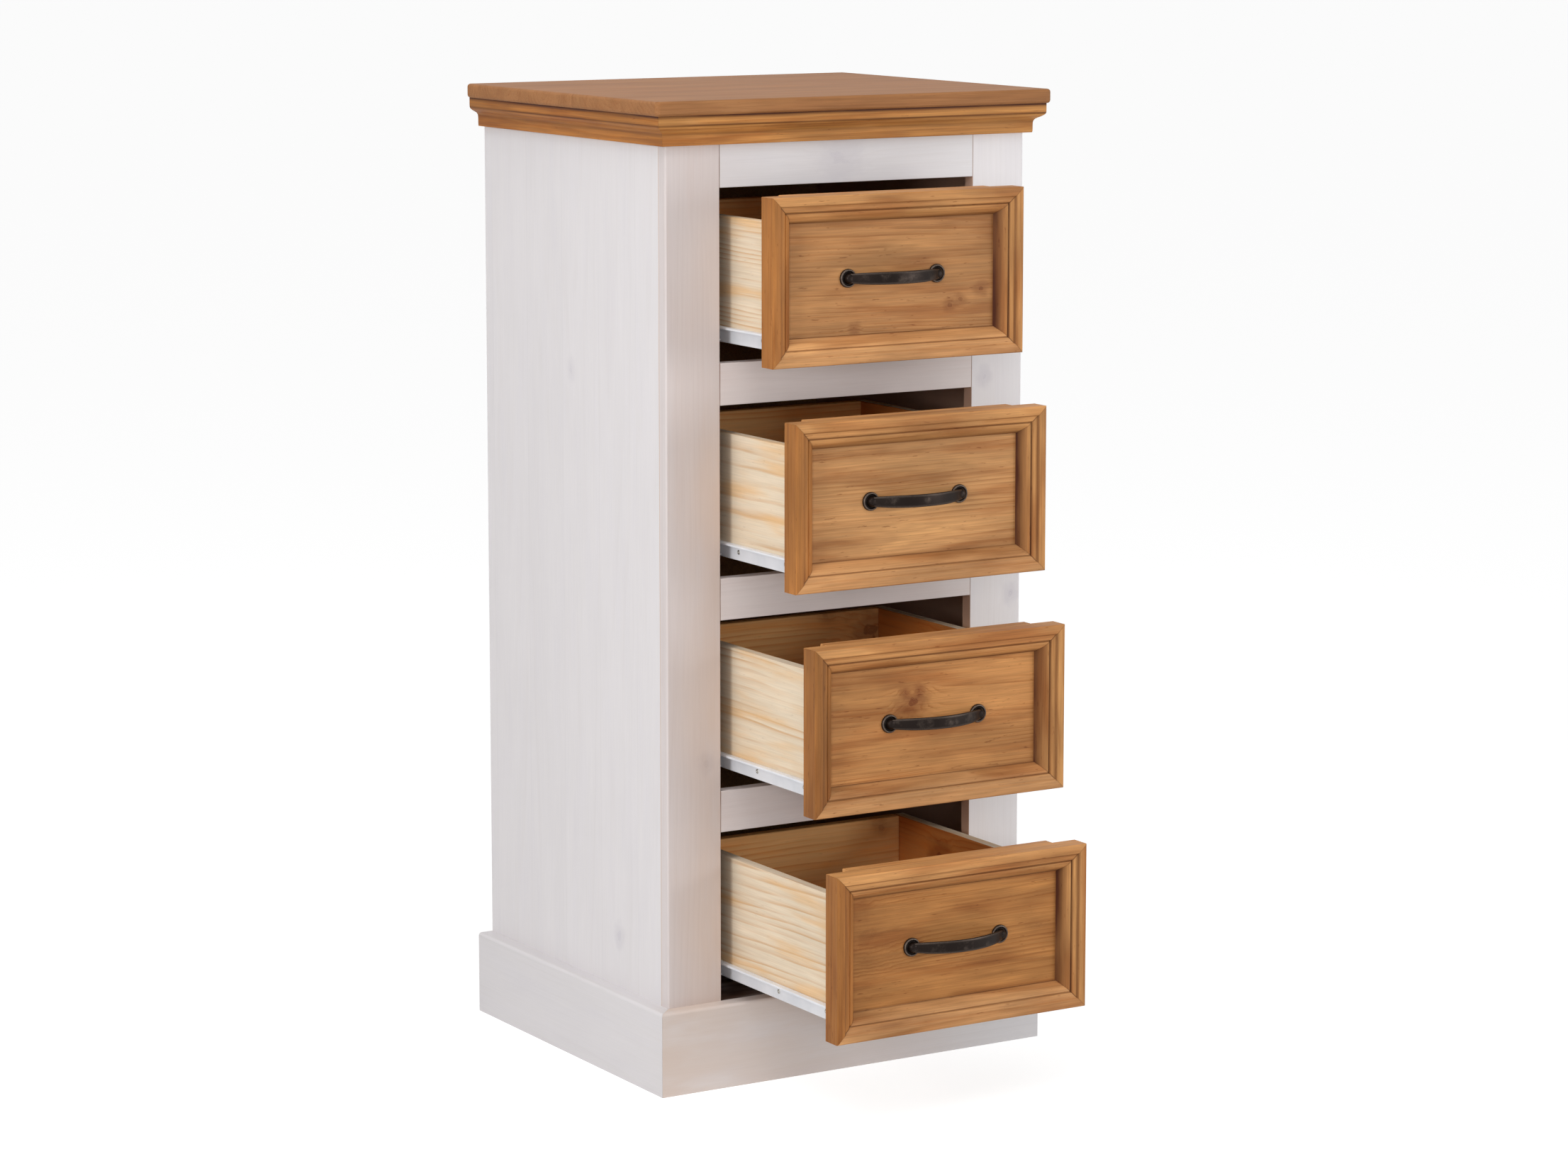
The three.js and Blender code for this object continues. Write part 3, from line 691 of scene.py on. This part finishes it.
# The left stile is painted darker and the right one lighter, for how the light falls on them
STILE_SHADE_TONES = {"left": (0.94, 0.94, 0.945), "right": (1.02, 1.015, 1.015)}
SIDE_TONE = (0.97, 0.96, 0.955)
CORNICE_TONE = (0.88, 0.82, 0.73)
PLINTH_TONE = (0.945, 0.935, 0.93)
STILE_WARM_SHADE = {"left": ((0, 0.5), (0.6, 0.44), (0.85, 0.16), (1, 0.02)),
                "right": ((0, 0.16), (0.6, 0.1), (0.85, 0), (1, 0))}
STILE_SEAM_DEPTH = 1.0
SIDE_STAVES = (0.094, 0.01)
TOP_STAVES = (0.124, 0.3)
STILE_EDGE_COLOUR = (206, 172, 150)
# Dark joints at the rails' ends, and painted shade fading over this reach from each rail's left end, where
# the drawers shade it
RAIL_SHADE_REACH = 80 * MM
RAIL_JOINTS_AND_SHADE = (0.9, 0.17, 0.0, 0.0, 0.9)
SIDE_KNOTS = {"left": [(0.173, 0.133, 0.007, 0.7), (0.877, 0.25, 0.006, 0.5)],
              "right": [(0.62, 0.2, 0.007, 0.6)]}
STILE_KNOTS = {"left": [(0.41, -0.205, 0.006, 0.8)],
               "right": [(0.8645, 0.203, 0.006, 1.0), (0.583, 0.246, 0.006, 0.9)]}
RAIL_KNOTS = {"rail_top": [(-0.012, 1.149, 0.014, 0.6)]}


def case_sides():
    for index, (hand, side) in enumerate(HANDS.items()):
        grain = wood(f"side_panel_{hand}_wood", "white", "z_side", 1 + index, staves=SIDE_STAVES,
                     inside=(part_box("side_panel_right")[0].x + JOINT_LINE, CASE_INSIDE_COLOUR),
                     knots=SIDE_KNOTS[hand], tone=SIDE_TONE)
        dress(f"side_panel_{hand}", grain)

        low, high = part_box("stile_right")
        kind = "shaded_warm_white" if hand == "left" else "white"
        grain = wood(f"stile_{hand}_wood", kind, "z", 3 + index, heart=(side * 0.29, 0.05),
                     inside=(low.x + BOARD_EASE / 2, STILE_EDGE_COLOUR), knots=STILE_KNOTS[hand],
                     marks_and_shade=WARM_SHADE_AND_SEAM_COLOUR, tone=STILE_SHADE_TONES[hand])
        width, depth = high.x - low.x, high.y - low.y
        outline = board_outline(width, depth, near=BOARD_EASE, far=CASE_CORNER)
        outline.insert(-1, (width, depth - STILE_SEAM))
        run = [((low.x, low.y, low.z + (high.z - low.z) * share), (1, 0, 0), (0, 1, 0))
               for share, _ in STILE_WARM_SHADE[hand]]
        face_end = width - CASE_CORNER
        on_face = [across < face_end for across, _ in outline[:-1]]
        # Painted warm shade on the stile's face, and the dark seam at its back edge
        mark_and_shade_levels = [level for _, warm_shade in STILE_WARM_SHADE[hand]
                  for level in [*[warm_shade if front else 0.0 for front in on_face], STILE_SEAM_DEPTH]]
        piece(f"stile_{hand}_board", mirrored(swept(outline, run), side), "case", grain,
              [f"stile_{hand}"], mark_and_shade_levels=mark_and_shade_levels)


def rails():
    for index, rail in enumerate(RAILS):
        low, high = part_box(rail)
        kind = "white" if rail == "rail_top" else "shaded_warm_white"
        grain = wood(f"{rail}_wood", kind, "x", 5 + index, heart=(low.z - 0.02, 0.06), marks_and_shade=JOINT_AND_SHADE_COLOUR,
                     knots=RAIL_KNOTS.get(rail, ()))
        outline = board_outline(high.z - low.z, high.y - low.y)
        places = (low.x, low.x + JOINT_LINE, low.x + RAIL_SHADE_REACH, high.x - JOINT_LINE, high.x)
        run = [((x, low.y, low.z), (0, 0, 1), (0, 1, 0)) for x in places]
        # Dark joints at both ends, and painted shade fading from the left end
        mark_and_shade_levels = [level for level in RAIL_JOINTS_AND_SHADE for _ in outline]
        piece(f"{rail}_board", swept(outline, run), "case", grain, [rail], mark_and_shade_levels=mark_and_shade_levels)


def bottom_and_back():
    low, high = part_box("bottom_board")
    thickness, width = high.z - low.z, high.x - low.x
    outline = [(0, 0), (width, 0), (width, thickness), (0, thickness)]
    # The board is painted dark behind its front edge: painted shade inside the case
    run = [((low.x, y, low.z), (1, 0, 0), (0, 0, 1)) for y in (low.y, low.y + BOTTOM_SHADE_SETBACK, high.y)]
    mark_and_shade_levels = [dark for dark in (0.0, 1.0, 1.0) for _ in outline]
    grain = wood("bottom_board_wood", "shaded_warm_white", "x_flat", 9, heart=(0.2, 0.2), marks_and_shade=BOTTOM_SHADE_COLOUR)
    piece("bottom_plank", swept(outline, run), "case", grain, ["bottom_board"], mark_and_shade_levels=mark_and_shade_levels)
    low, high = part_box("back_panel")
    sunk = high.y - BACK_SHEET_SETBACK
    piece("back_sheet", rounded_block(low, (high.x, sunk, high.z), 0.2 * MM, segments=1), "case", HARDBOARD,
          ["back_panel"])
    half = high.x - BACK_SCREW_INSET
    for row in range(BACK_SCREW_ROWS):
        share = row / (BACK_SCREW_ROWS - 1)
        z = low.z + BACK_SCREW_INSET + (high.z - low.z - 2 * BACK_SCREW_INSET) * share
        for hand, side in HANDS.items():
            pan_head(f"back_screw_{hand}_{row}", "case", (side * half, sunk, z), (0, 1, 0))


def plinth():
    low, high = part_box("plinth")
    shoulder = high.z - PLINTH_EDGE
    quarter = [math.pi / 2 * step / 6 for step in range(7)]
    flat = PLINTH_THICKNESS - PLINTH_EDGE
    crown = [(flat + PLINTH_EDGE * math.cos(a), shoulder + PLINTH_EDGE * math.sin(a)) for a in quarter]
    outline = [(0, 0), (PLINTH_THICKNESS, 0), *crown, (0, high.z)]
    half = high.x - PLINTH_THICKNESS
    inner = low.y + PLINTH_THICKNESS
    gap = Vector((MITRE_GAP, 0, 0))
    front = [(Vector((-half, inner, 0)) + gap, (-1, -1, 0), (0, 0, 1)),
             (Vector((half, inner, 0)) - gap, (1, -1, 0), (0, 0, 1))]
    grain = wood("plinth_front_wood", "white", "x", 21, heart=(-0.03, 0.06), marks_and_shade=WARM_SHADE_AND_SEAM_COLOUR)
    # Painted warm shade, strongest at the left end, in the shadow of the lowest drawer
    mark_and_shade_levels = [warm_shade for warm_shade in PLINTH_WARM_SHADE for _ in outline]
    piece("plinth_front", swept(outline, front), "case", grain, ["plinth"], mark_and_shade_levels=mark_and_shade_levels)
    for index, (hand, side) in enumerate(HANDS.items()):
        run = [((half, inner + MITRE_GAP, 0), (1, -1, 0), (0, 0, 1)),
               ((half, high.y, 0), (1, 0, 0), (0, 0, 1))]
        piece(f"plinth_{hand}", mirrored(swept(outline, run), side), "case",
              wood(f"plinth_{hand}_wood", "white", "y", 22 + index, heart=(-0.03, side * 0.2),
                   tone=PLINTH_TONE),
              ["plinth"])


def top_plank():
    low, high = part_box("top_board")
    grain = wood("top_wood", "top", "x_flat", 31, heart=(0.1, 1.28), tilt=0.01, staves=TOP_STAVES)
    plank = rounded_block(low, high, TOP_EDGE, TOP_CORNER)
    piece("top_plank", plank, "case", grain, ["top_board"])


def cornice():
    face = smoothed(CORNICE_FACE)
    outline = [(0, 0), *scaled(face, CORNICE_PROJECTION, CORNICE_HEIGHT), (0, CORNICE_HEIGHT)]
    # Stain and painted shade along the cornice's outline
    levels = [0.0, *[stain_and_shade_at(share, CORNICE_STAIN_AND_SHADE_LINES) for _, share in face], 0.0]
    low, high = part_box("cornice_front")
    half = high.x - CORNICE_PROJECTION
    front = low.y + CORNICE_PROJECTION
    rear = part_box("cornice_left")[1].y
    run = [((-half + MITRE_GAP, front, high.z), (-1, -1, 0), (0, 0, -1)),
           ((half - MITRE_GAP, front, high.z), (1, -1, 0), (0, 0, -1))]
    grain = wood("cornice_front_wood", "cornice", "x", 33, heart=(1.1, 0.06), marks_and_shade=DARK_STAIN_AND_SHADE)
    piece("cornice_front_length", swept(outline, run), "case", grain, ["cornice_front"],
          mark_and_shade_levels=levels * 2)
    for index, (hand, side) in enumerate(HANDS.items()):
        run = [((half, front + MITRE_GAP, high.z), (1, -1, 0), (0, 0, -1)),
               ((half, rear, high.z), (1, 0, 0), (0, 0, -1))]
        grain = wood(f"cornice_{hand}_wood", "cornice", "y", 34 + index, heart=(1.1, side * 0.22),
                     marks_and_shade=DARK_STAIN_AND_SHADE, tone=CORNICE_TONE)
        piece(f"cornice_{hand}_length", mirrored(swept(outline, run), side), "case", grain,
              [f"cornice_{hand}"], mark_and_shade_levels=levels * 2)


# Drawers

FRAME_TONES = {"left": (0.95, 0.875, 0.75), "right": (0.95, 0.95, 0.95), "top": (0.98, 0.985, 1.0),
               "bottom": (0.96, 0.98, 1.05)}
# The left boards of the frames, one by one: shade, and depth of stain on the outer side
LEFT_BOARDS = {1: (0.94, 0.28), 2: (0.935, 0.3), 3: (0.83, 0.06), 4: (0.9, 0.13)}
FIELD_TONES = {1: (0.89, 0.89, 0.92), 2: (0.95, 0.975, 1.03), 3: (0.95, 0.93, 0.91), 4: (0.88, 0.84, 0.77)}
FIELD_KNOTS = {
    1: [(0.13, -0.022, 0.005, 0.8), (0.084, -0.04, 0.0045, 0.7), (0.1, -0.034, 0.004, 0.7),
        (-0.055, -0.061, 0.004, 0.8)],
    3: [(-0.024, 0.036, 0.005, 0.9), (-0.038, 0.035, 0.0045, 0.8), (-0.031, 0.035, 0.0035, -0.9),
        (-0.0305, 0.0225, 0.0095, 1.0)],
    4: [(-0.13, 0.018, 0.02, 0.35)],
}
SIDE_PIECE_KNOTS = {(4, "right"): [(0.023, 0.246, 0.012, 1.0)], (3, "right"): [(0.06, 0.515, 0.01, 0.8)]}
BACK_KNOTS = {3: [(0.138, 0.521, 0.014, 0.9), (0.066, 0.546, 0.006, 0.4)], 4: [(0.12, 0.27, 0.006, 0.5)]}
FIELD_SPACING = 5 * MM
SIDE_SPACINGS = {1: 6 * MM, 2: 17 * MM, 3: 9 * MM, 4: 8 * MM}
# The boxes' backs get a warmer colour, and the inner faces of their sides a darker, warmer one
BOX_BACK_COLOUR = (255, 224, 172)
BACK_TONE = (1.08, 1.03, 1.0)
BOX_SIDE_INSIDE_COLOUR = (226, 152, 88)


def drawer_frame(number):
    """Four mitred boards of one moulding, darkened in its quirks by stain and painted shade, and at its
    mitres.
    """
    name = f"drawer_{number}"
    low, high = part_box(f"{name}_frame")
    face = smoothed(FRAME_FACE)
    depth = high.y - low.y
    inner = FRAME_WIDTH - FRAME_REBATE
    outline = [(0, depth), *scaled(face, FRAME_WIDTH, MOULDING_DEPTH),
               (FRAME_WIDTH, FIELD_DEPTH), (inner, FIELD_DEPTH), (inner, depth)]
    corners = {"bl": (low.x, low.z, 1, 1), "br": (high.x, low.z, -1, 1),
               "tr": (high.x, high.z, -1, -1), "tl": (low.x, high.z, 1, -1)}
    boards = {"bottom": ("bl", "br", 1, 0), "top": ("tl", "tr", 1, 0),
              "left": ("bl", "tl", 0, 1), "right": ("br", "tr", 0, 1)}
    for index, (board, (start, end, run_x, run_z)) in enumerate(boards.items()):
        stations = []
        for corner, gap in ((start, MITRE_GAP), (start, MITRE_LINE), (end, -MITRE_LINE), (end, -MITRE_GAP)):
            x, z, in_x, in_z = corners[corner]
            stations.append(((x + run_x * gap, low.y, z + run_z * gap), (in_x, 0, in_z), (0, 1, 0)))
        x, z, _, _ = corners[end]
        middle = z if run_x else x
        shade, flank = LEFT_BOARDS[number] if board == "left" else (1.0, FLANK_STAIN[board])
        grain = wood(f"{name}_frame_{board}_wood", "honey", "x" if run_x else "z", 40 + number * 7 + index,
                     heart=(middle + 0.02 * (index - 1.5), low.y + 0.06), tilt=0.02, marks_and_shade=DARK_STAIN_AND_SHADE,
                     tone=[level * shade for level in FRAME_TONES[board]])
        # Stain and painted shade along the outline, and the dark mitre joints at both ends
        level = [flank, *[stain_and_shade_at(share, FRAME_STAIN_AND_SHADE_LINES[board]) for share, _ in face], 0, 0, 0]
        mitre = [0, *[mitre_at(share) for share, _ in face], 0, 0, 0]
        mark_and_shade_levels = [max(own, end * joint) for end in (1, 0, 0, 1) for own, joint in zip(level, mitre)]
        piece(f"{name}_frame_{board}", swept(outline, stations), name, grain,
              [f"{name}_frame"], crease=30, mark_and_shade_levels=mark_and_shade_levels)


def drawer_field(number):
    """The sunk field within the frame, and the box front behind it, which is one board in the solids."""
    name = f"drawer_{number}"
    low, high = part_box(f"{name}_frame")
    middle = (low.z + high.z) / 2
    face_y = low.y + FIELD_DEPTH
    inset = FRAME_WIDTH - FRAME_REBATE + FIELD_GAP
    knots = [(u, middle + v, *rest) for u, v, *rest in FIELD_KNOTS.get(number, [])]
    heart = (middle + (0.09 if number % 2 else -0.08), face_y + 0.05)
    # The field's border is darkened with stain and painted shade
    rim = (high.x - FRAME_WIDTH, middle, high.z - FRAME_WIDTH - middle)
    grain = wood(f"{name}_field_wood", "honey", "x", 71 + number * 3, heart=heart, knots=knots,
                 rim=rim, tone=FIELD_TONES[number], spacing=FIELD_SPACING)
    field = rounded_block((low.x + inset, face_y, low.z + inset), (high.x - inset, high.y, high.z - inset),
                          THIN_EASE, segments=1)
    piece(f"{name}_field", field, name, grain, [f"{name}_front_board"])

    side_low, side_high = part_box(f"{name}_side_left")
    rear = high.y + BOX_FRONT_THICKNESS
    grain = wood(f"{name}_box_front_wood", "honey", "x", 91 + number, heart=(middle + 0.1, high.y + 0.06))
    near, far = (side_high.x, high.y, side_low.z), (-side_high.x, rear, high.z)
    board = rounded_block(near, far, BOARD_EASE, segments=2)
    piece(f"{name}_box_front", board, name, grain, [f"{name}_front_board"])
    for hand, side in HANDS.items():
        pan_head(f"{name}_pull_screw_{hand}", name, (side * HOLE_SPACING / 2, rear, middle), (0, 1, 0),
                 PULL_SCREW_RADIUS, PULL_SCREW_HEIGHT)


def drawer_box(number):
    name = f"drawer_{number}"
    low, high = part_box(f"{name}_side_right")
    for index, (hand, side) in enumerate(HANDS.items()):
        heart = (low.z + (-0.06 if (number + index) % 2 else 0.2), side * (high.x - 0.03 - 0.01 * number))
        grain = wood(f"{name}_side_{hand}_wood", "bare", "y", 110 + number * 2 + index, heart=heart,
                     tilt=0.03, inside=(low.x + BOARD_EASE, BOX_SIDE_INSIDE_COLOUR),
                     knots=SIDE_PIECE_KNOTS.get((number, hand), ()), spacing=SIDE_SPACINGS[number])
        dress(f"{name}_side_{hand}", grain)
    grain = wood(f"{name}_back_wood", "bare", "x", 120 + number, heart=(low.z - 0.05, high.y + 0.05),
                 inside=(high.x, BOX_BACK_COLOUR), knots=BACK_KNOTS.get(number, ()), tone=BACK_TONE)
    dress(f"{name}_back", grain)
    dress(f"{name}_bottom", HARDBOARD)


def bow_pull(number):
    name = f"drawer_{number}"
    low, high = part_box(f"{name}_handle")
    seat = high.y
    middle_z = (low.z + high.z) / 2
    half_span = HOLE_SPACING / 2
    bend = (half_span ** 2 + STRAP_RISE ** 2) / (2 * STRAP_RISE)
    half_angle = math.asin(half_span / bend)
    lift = STRAP_FOOT + STRAP_RISE - bend
    turns = [2 * math.pi * step / 24 for step in range(24)]
    section = [(math.copysign(abs(math.cos(t)) ** 0.65, math.cos(t)),
                math.copysign(abs(math.sin(t)) ** 0.4, math.sin(t))) for t in turns]
    rubbed = [0.45 * max(math.sin(2 * t), -math.sin(2 * t)) ** 6 for t in turns]
    stations = []
    steps = 48
    for step in range(steps + 1):
        share = 2 * step / steps - 1
        angle = share * half_angle
        taper = (STRAP_MIDDLE_HEIGHT - STRAP_END_HEIGHT) * share ** STRAP_TAPER_POWER
        outward = Vector((math.sin(angle), -math.cos(angle), 0))
        origin = outward * bend + Vector((0, seat - lift, middle_z))
        stations.append((origin, outward * STRAP_THICKNESS / 2, (0, 0, (STRAP_MIDDLE_HEIGHT - taper) / 2)))
    piece(f"{name}_strap", swept(section, stations), name, IRON, [f"{name}_handle"],
          crease=50, mark_and_shade_levels=rubbed * len(stations))
    face = smoothed(ROSETTE_HALF)
    sides = 48
    rims = [0.75 * math.exp(-((share - 0.9) / 0.09) ** 2) for share, _ in face]
    mark_and_shade_levels = [rim for rim, (share, _) in zip(rims, face) for _ in range(sides if share > 0 else 1)]
    for hand, side in HANDS.items():
        rosette = turned(scaled(face, ROSETTE_RADIUS, ROSETTE_HEIGHT), (side * half_span, seat, middle_z),
                         (0, -1, 0), sides)
        piece(f"{name}_rosette_{hand}", rosette, name, IRON, [f"{name}_handle"],
              crease=40, mark_and_shade_levels=mark_and_shade_levels)


# Runners

def roller(name, body, side, y, z, face, axle, node):
    """A nylon wheel on a riveted axle, both turned about X. Axle is how far out its two ends lie."""
    r, edge = ROLLER_RADIUS, ROLLER_EASE
    half = [(0, 0), (r - edge, 0), (r - edge * 0.3, edge * 0.3), (r, edge), (r, ROLLER_WIDTH - edge),
            (r - edge * 0.3, ROLLER_WIDTH - edge * 0.3), (r - edge, ROLLER_WIDTH), (0, ROLLER_WIDTH)]
    piece(f"{name}_wheel", turned(half, (side * (face + ROLLER_INNER), y, z), (side, 0, 0), 40), body, NYLON,
          [node])
    start, end = axle
    length = end - start
    rivet = [(0, 0), (AXLE_RADIUS * 0.7, 0), (AXLE_RADIUS, AXLE_HEAD), (AXLE_RADIUS, length - AXLE_HEAD),
             (AXLE_RADIUS * 0.7, length), (0, length)]
    piece(f"{name}_axle", turned(rivet, (side * (face + start), y, z), (side, 0, 0), 24), body, ZINC,
          [node])


def drawer_member(number, hand, side, face, edge, start):
    """The member screwed to the box side: a flange under it, a web on it, and a lipped flange outwards."""
    name = f"drawer_{number}"
    node = f"{name}_runner_{hand}"
    t = SHEET / 2
    lip = MEMBER_REACH - t
    profile = sheet_outline([(-MEMBER_UNDER, -t), (t, -t), (t, MEMBER_HEIGHT - t), (lip, MEMBER_HEIGHT - t),
                             (lip, MEMBER_HEIGHT - MEMBER_LIP)])
    run = [((face, y, edge), (1, 0, 0), (0, 0, 1)) for y in (start, start + RUNNER_LENGTH)]
    piece(f"{name}_member_{hand}", mirrored(swept(profile, run), side), name, STEEL, [node])
    for index, place in enumerate(MEMBER_SCREWS):
        centre = (side * (face + SHEET), start + place, edge + MEMBER_HEIGHT / 2)
        pan_head(f"{name}_member_screw_{hand}_{index}", name, centre, (side, 0, 0))
    roller(f"{name}_rear_{hand}", name, side, start + RUNNER_LENGTH - ROLLER_INSET,
           edge + CHANNEL_LIFT + SHEET + ROLLER_GAP + ROLLER_RADIUS, face,
           (SHEET * 0.5, ROLLER_INNER + ROLLER_WIDTH + AXLE_HEAD), node)


def case_member(number, hand, side, face, edge, start):
    """The channel fixed to the case, with its front tab, rear bracket, front roller and stop."""
    name = f"case_{number}"
    node = f"case_runner_{number}_{hand}"
    t = SHEET / 2
    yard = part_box("stile_left")[1].y
    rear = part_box("back_panel")[0].y

    def bent(part, line, levels):
        run = [((face, 0, edge + level), (1, 0, 0), (0, 1, 0)) for level in levels]
        piece(f"{name}_{part}_{hand}", mirrored(swept(sheet_outline(line), run), side), "case", STEEL,
              [node])

    profile = sheet_outline([(CHANNEL_DEPTH - CHANNEL_BOTTOM_FLANGE, CHANNEL_LIFT + t),
                             (CHANNEL_DEPTH - t, CHANNEL_LIFT + t), (CHANNEL_DEPTH - t, CHANNEL_TOP - t),
                             (CHANNEL_DEPTH - CHANNEL_TOP_FLANGE, CHANNEL_TOP - t)])
    run = [((face, y, edge), (1, 0, 0), (0, 0, 1)) for y in (start, start + RUNNER_LENGTH)]
    piece(f"{name}_channel_{hand}", mirrored(swept(profile, run), side), "case", STEEL,
          [node])
    bent("tab", [(CHANNEL_DEPTH - t, start + t), (TAB_STEP + t, start + t), (TAB_STEP + t, yard + t),
                 (TAB_STEP + TAB_WIDTH, yard + t)], (CHANNEL_LIFT, CHANNEL_TOP))
    middle = (CHANNEL_LIFT + CHANNEL_TOP) / 2
    bent("bracket", [(CHANNEL_DEPTH - t, start + RUNNER_LENGTH - SHEET), (CHANNEL_DEPTH - t, rear - t),
                     (CHANNEL_DEPTH + TAB_WIDTH, rear - t)],
         (middle - BRACKET_HEIGHT / 2, middle + BRACKET_HEIGHT / 2))
    screw_x = side * (face + TAB_STEP + TAB_WIDTH / 2)
    pan_head(f"{name}_tab_screw_{hand}", "case", (screw_x, yard + SHEET, edge + middle), (0, 1, 0))
    roller(f"{name}_front_{hand}", "case", side, start + ROLLER_INSET,
           edge + MEMBER_HEIGHT - SHEET - ROLLER_GAP - ROLLER_RADIUS, face,
           (ROLLER_INNER - AXLE_HEAD, CHANNEL_DEPTH - t), node)
    rear_roller = start - RUNNER_SETBACK + RUNNER_LENGTH - ROLLER_INSET
    stop = rear_roller - (RUNNER_LENGTH - RUNNER_OVERLAP) - ROLLER_RADIUS - ROLLER_GAP
    low = (face + CHANNEL_DEPTH - CHANNEL_BOTTOM_FLANGE + SHEET, stop - STOP_THICKNESS, edge + CHANNEL_LIFT)
    high = (face + CHANNEL_DEPTH - SHEET, stop, edge + CHANNEL_LIFT + SHEET + STOP_HEIGHT)
    block = mirrored(rounded_block(low, high, THIN_EASE, segments=2), side)
    piece(f"{name}_stop_{hand}", block, "case", STEEL, [node])


def runners(number):
    low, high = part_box(f"drawer_{number}_side_right")
    frame_low, frame_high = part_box(f"drawer_{number}_frame")
    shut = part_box("stile_left")[0].y + frame_high.y - frame_low.y
    for hand, side in HANDS.items():
        drawer_member(number, hand, side, high.x, low.z, low.y)
        case_member(number, hand, side, high.x, low.z, shut + RUNNER_SETBACK)


# Surroundings

def grey(level):
    return (level, level, level, 1)


def world():
    """White wherever it is seen, and a softer light for everything else."""
    studio = bpy.data.worlds.new("studio")
    bpy.context.scene.world = studio
    net = Net("studio", studio)
    soft = net.node("ShaderNodeBackground", {"Color": grey(1), "Strength": WORLD_LEVEL})
    white = net.node("ShaderNodeBackground", {"Color": grey(1), "Strength": 1.0})
    mixer = net.node("ShaderNodeMixShader", {0: net.seen(), 1: soft.outputs[0], 2: white.outputs[0]})
    net.node("ShaderNodeOutputWorld", {"Surface": mixer.outputs[0]})


def floor():
    """White with the chest's shadow where it is seen, and a plain pale board to all other light."""
    mesh = bpy.data.meshes.new("floor")
    corners = [(x * FLOOR_REACH, y * FLOOR_REACH, 0) for x, y in ((-1, -1), (1, -1), (1, 1), (-1, 1))]
    mesh.from_pydata(corners, [], [(0, 1, 2, 3)])
    made = bpy.data.objects.new("floor", mesh)
    bpy.context.scene.collection.objects.link(made)
    net = Net("floor")
    glow = net.node("ShaderNodeEmission", {"Color": grey(1), "Strength": FLOOR_GLOW})
    shade = net.node("ShaderNodeBsdfDiffuse", {"Color": grey(FLOOR_SHADE)})
    shown = net.node("ShaderNodeAddShader", {0: glow.outputs[0], 1: shade.outputs[0]})
    plain = net.node("ShaderNodeBsdfDiffuse", {"Color": grey(FLOOR_PLAIN)})
    mixer = net.node("ShaderNodeMixShader", {0: net.seen(), 1: plain.outputs[0], 2: shown.outputs[0]})
    net.node("ShaderNodeOutputMaterial", {"Surface": mixer.outputs[0]})
    mesh.materials.append(net.material)


def lamp(name, place, target, size, power):
    data = bpy.data.lights.new(name, "AREA")
    data.shape = "RECTANGLE"
    data.size, data.size_y = size
    data.energy = power
    made = bpy.data.objects.new(name, data)
    made.location = place
    made.rotation_mode = "QUATERNION"
    made.rotation_quaternion = (Vector(target) - Vector(place)).to_track_quat("-Z", "Y")
    bpy.context.scene.collection.objects.link(made)


def camera():
    data = bpy.data.cameras.new("camera")
    data.sensor_width = SENSOR_WIDTH
    data.lens = CAMERA_LENS
    data.shift_y = CAMERA_SHIFT
    made = bpy.data.objects.new("camera", data)
    level = Vector((math.sin(CAMERA_YAW), math.cos(CAMERA_YAW), 0))
    ahead = level * math.cos(CAMERA_PITCH) - Vector((0, 0, math.sin(CAMERA_PITCH)))
    right = Vector((level.y, -level.x, 0))
    turn = Matrix((right, right.cross(ahead), -ahead)).transposed()
    made.matrix_world = Matrix.Translation(CAMERA_PLACE) @ turn.to_4x4()
    bpy.context.scene.collection.objects.link(made)
    bpy.context.scene.camera = made


case_sides()
rails()
bottom_and_back()
plinth()
top_plank()
cornice()
for drawer in DRAWERS:
    drawer_frame(drawer)
    drawer_field(drawer)
    drawer_box(drawer)
    bow_pull(drawer)
    runners(drawer)

world()
floor()
for settings in LAMPS:
    lamp(*settings)
camera()
bpy.context.scene.view_settings.view_transform = "Standard"
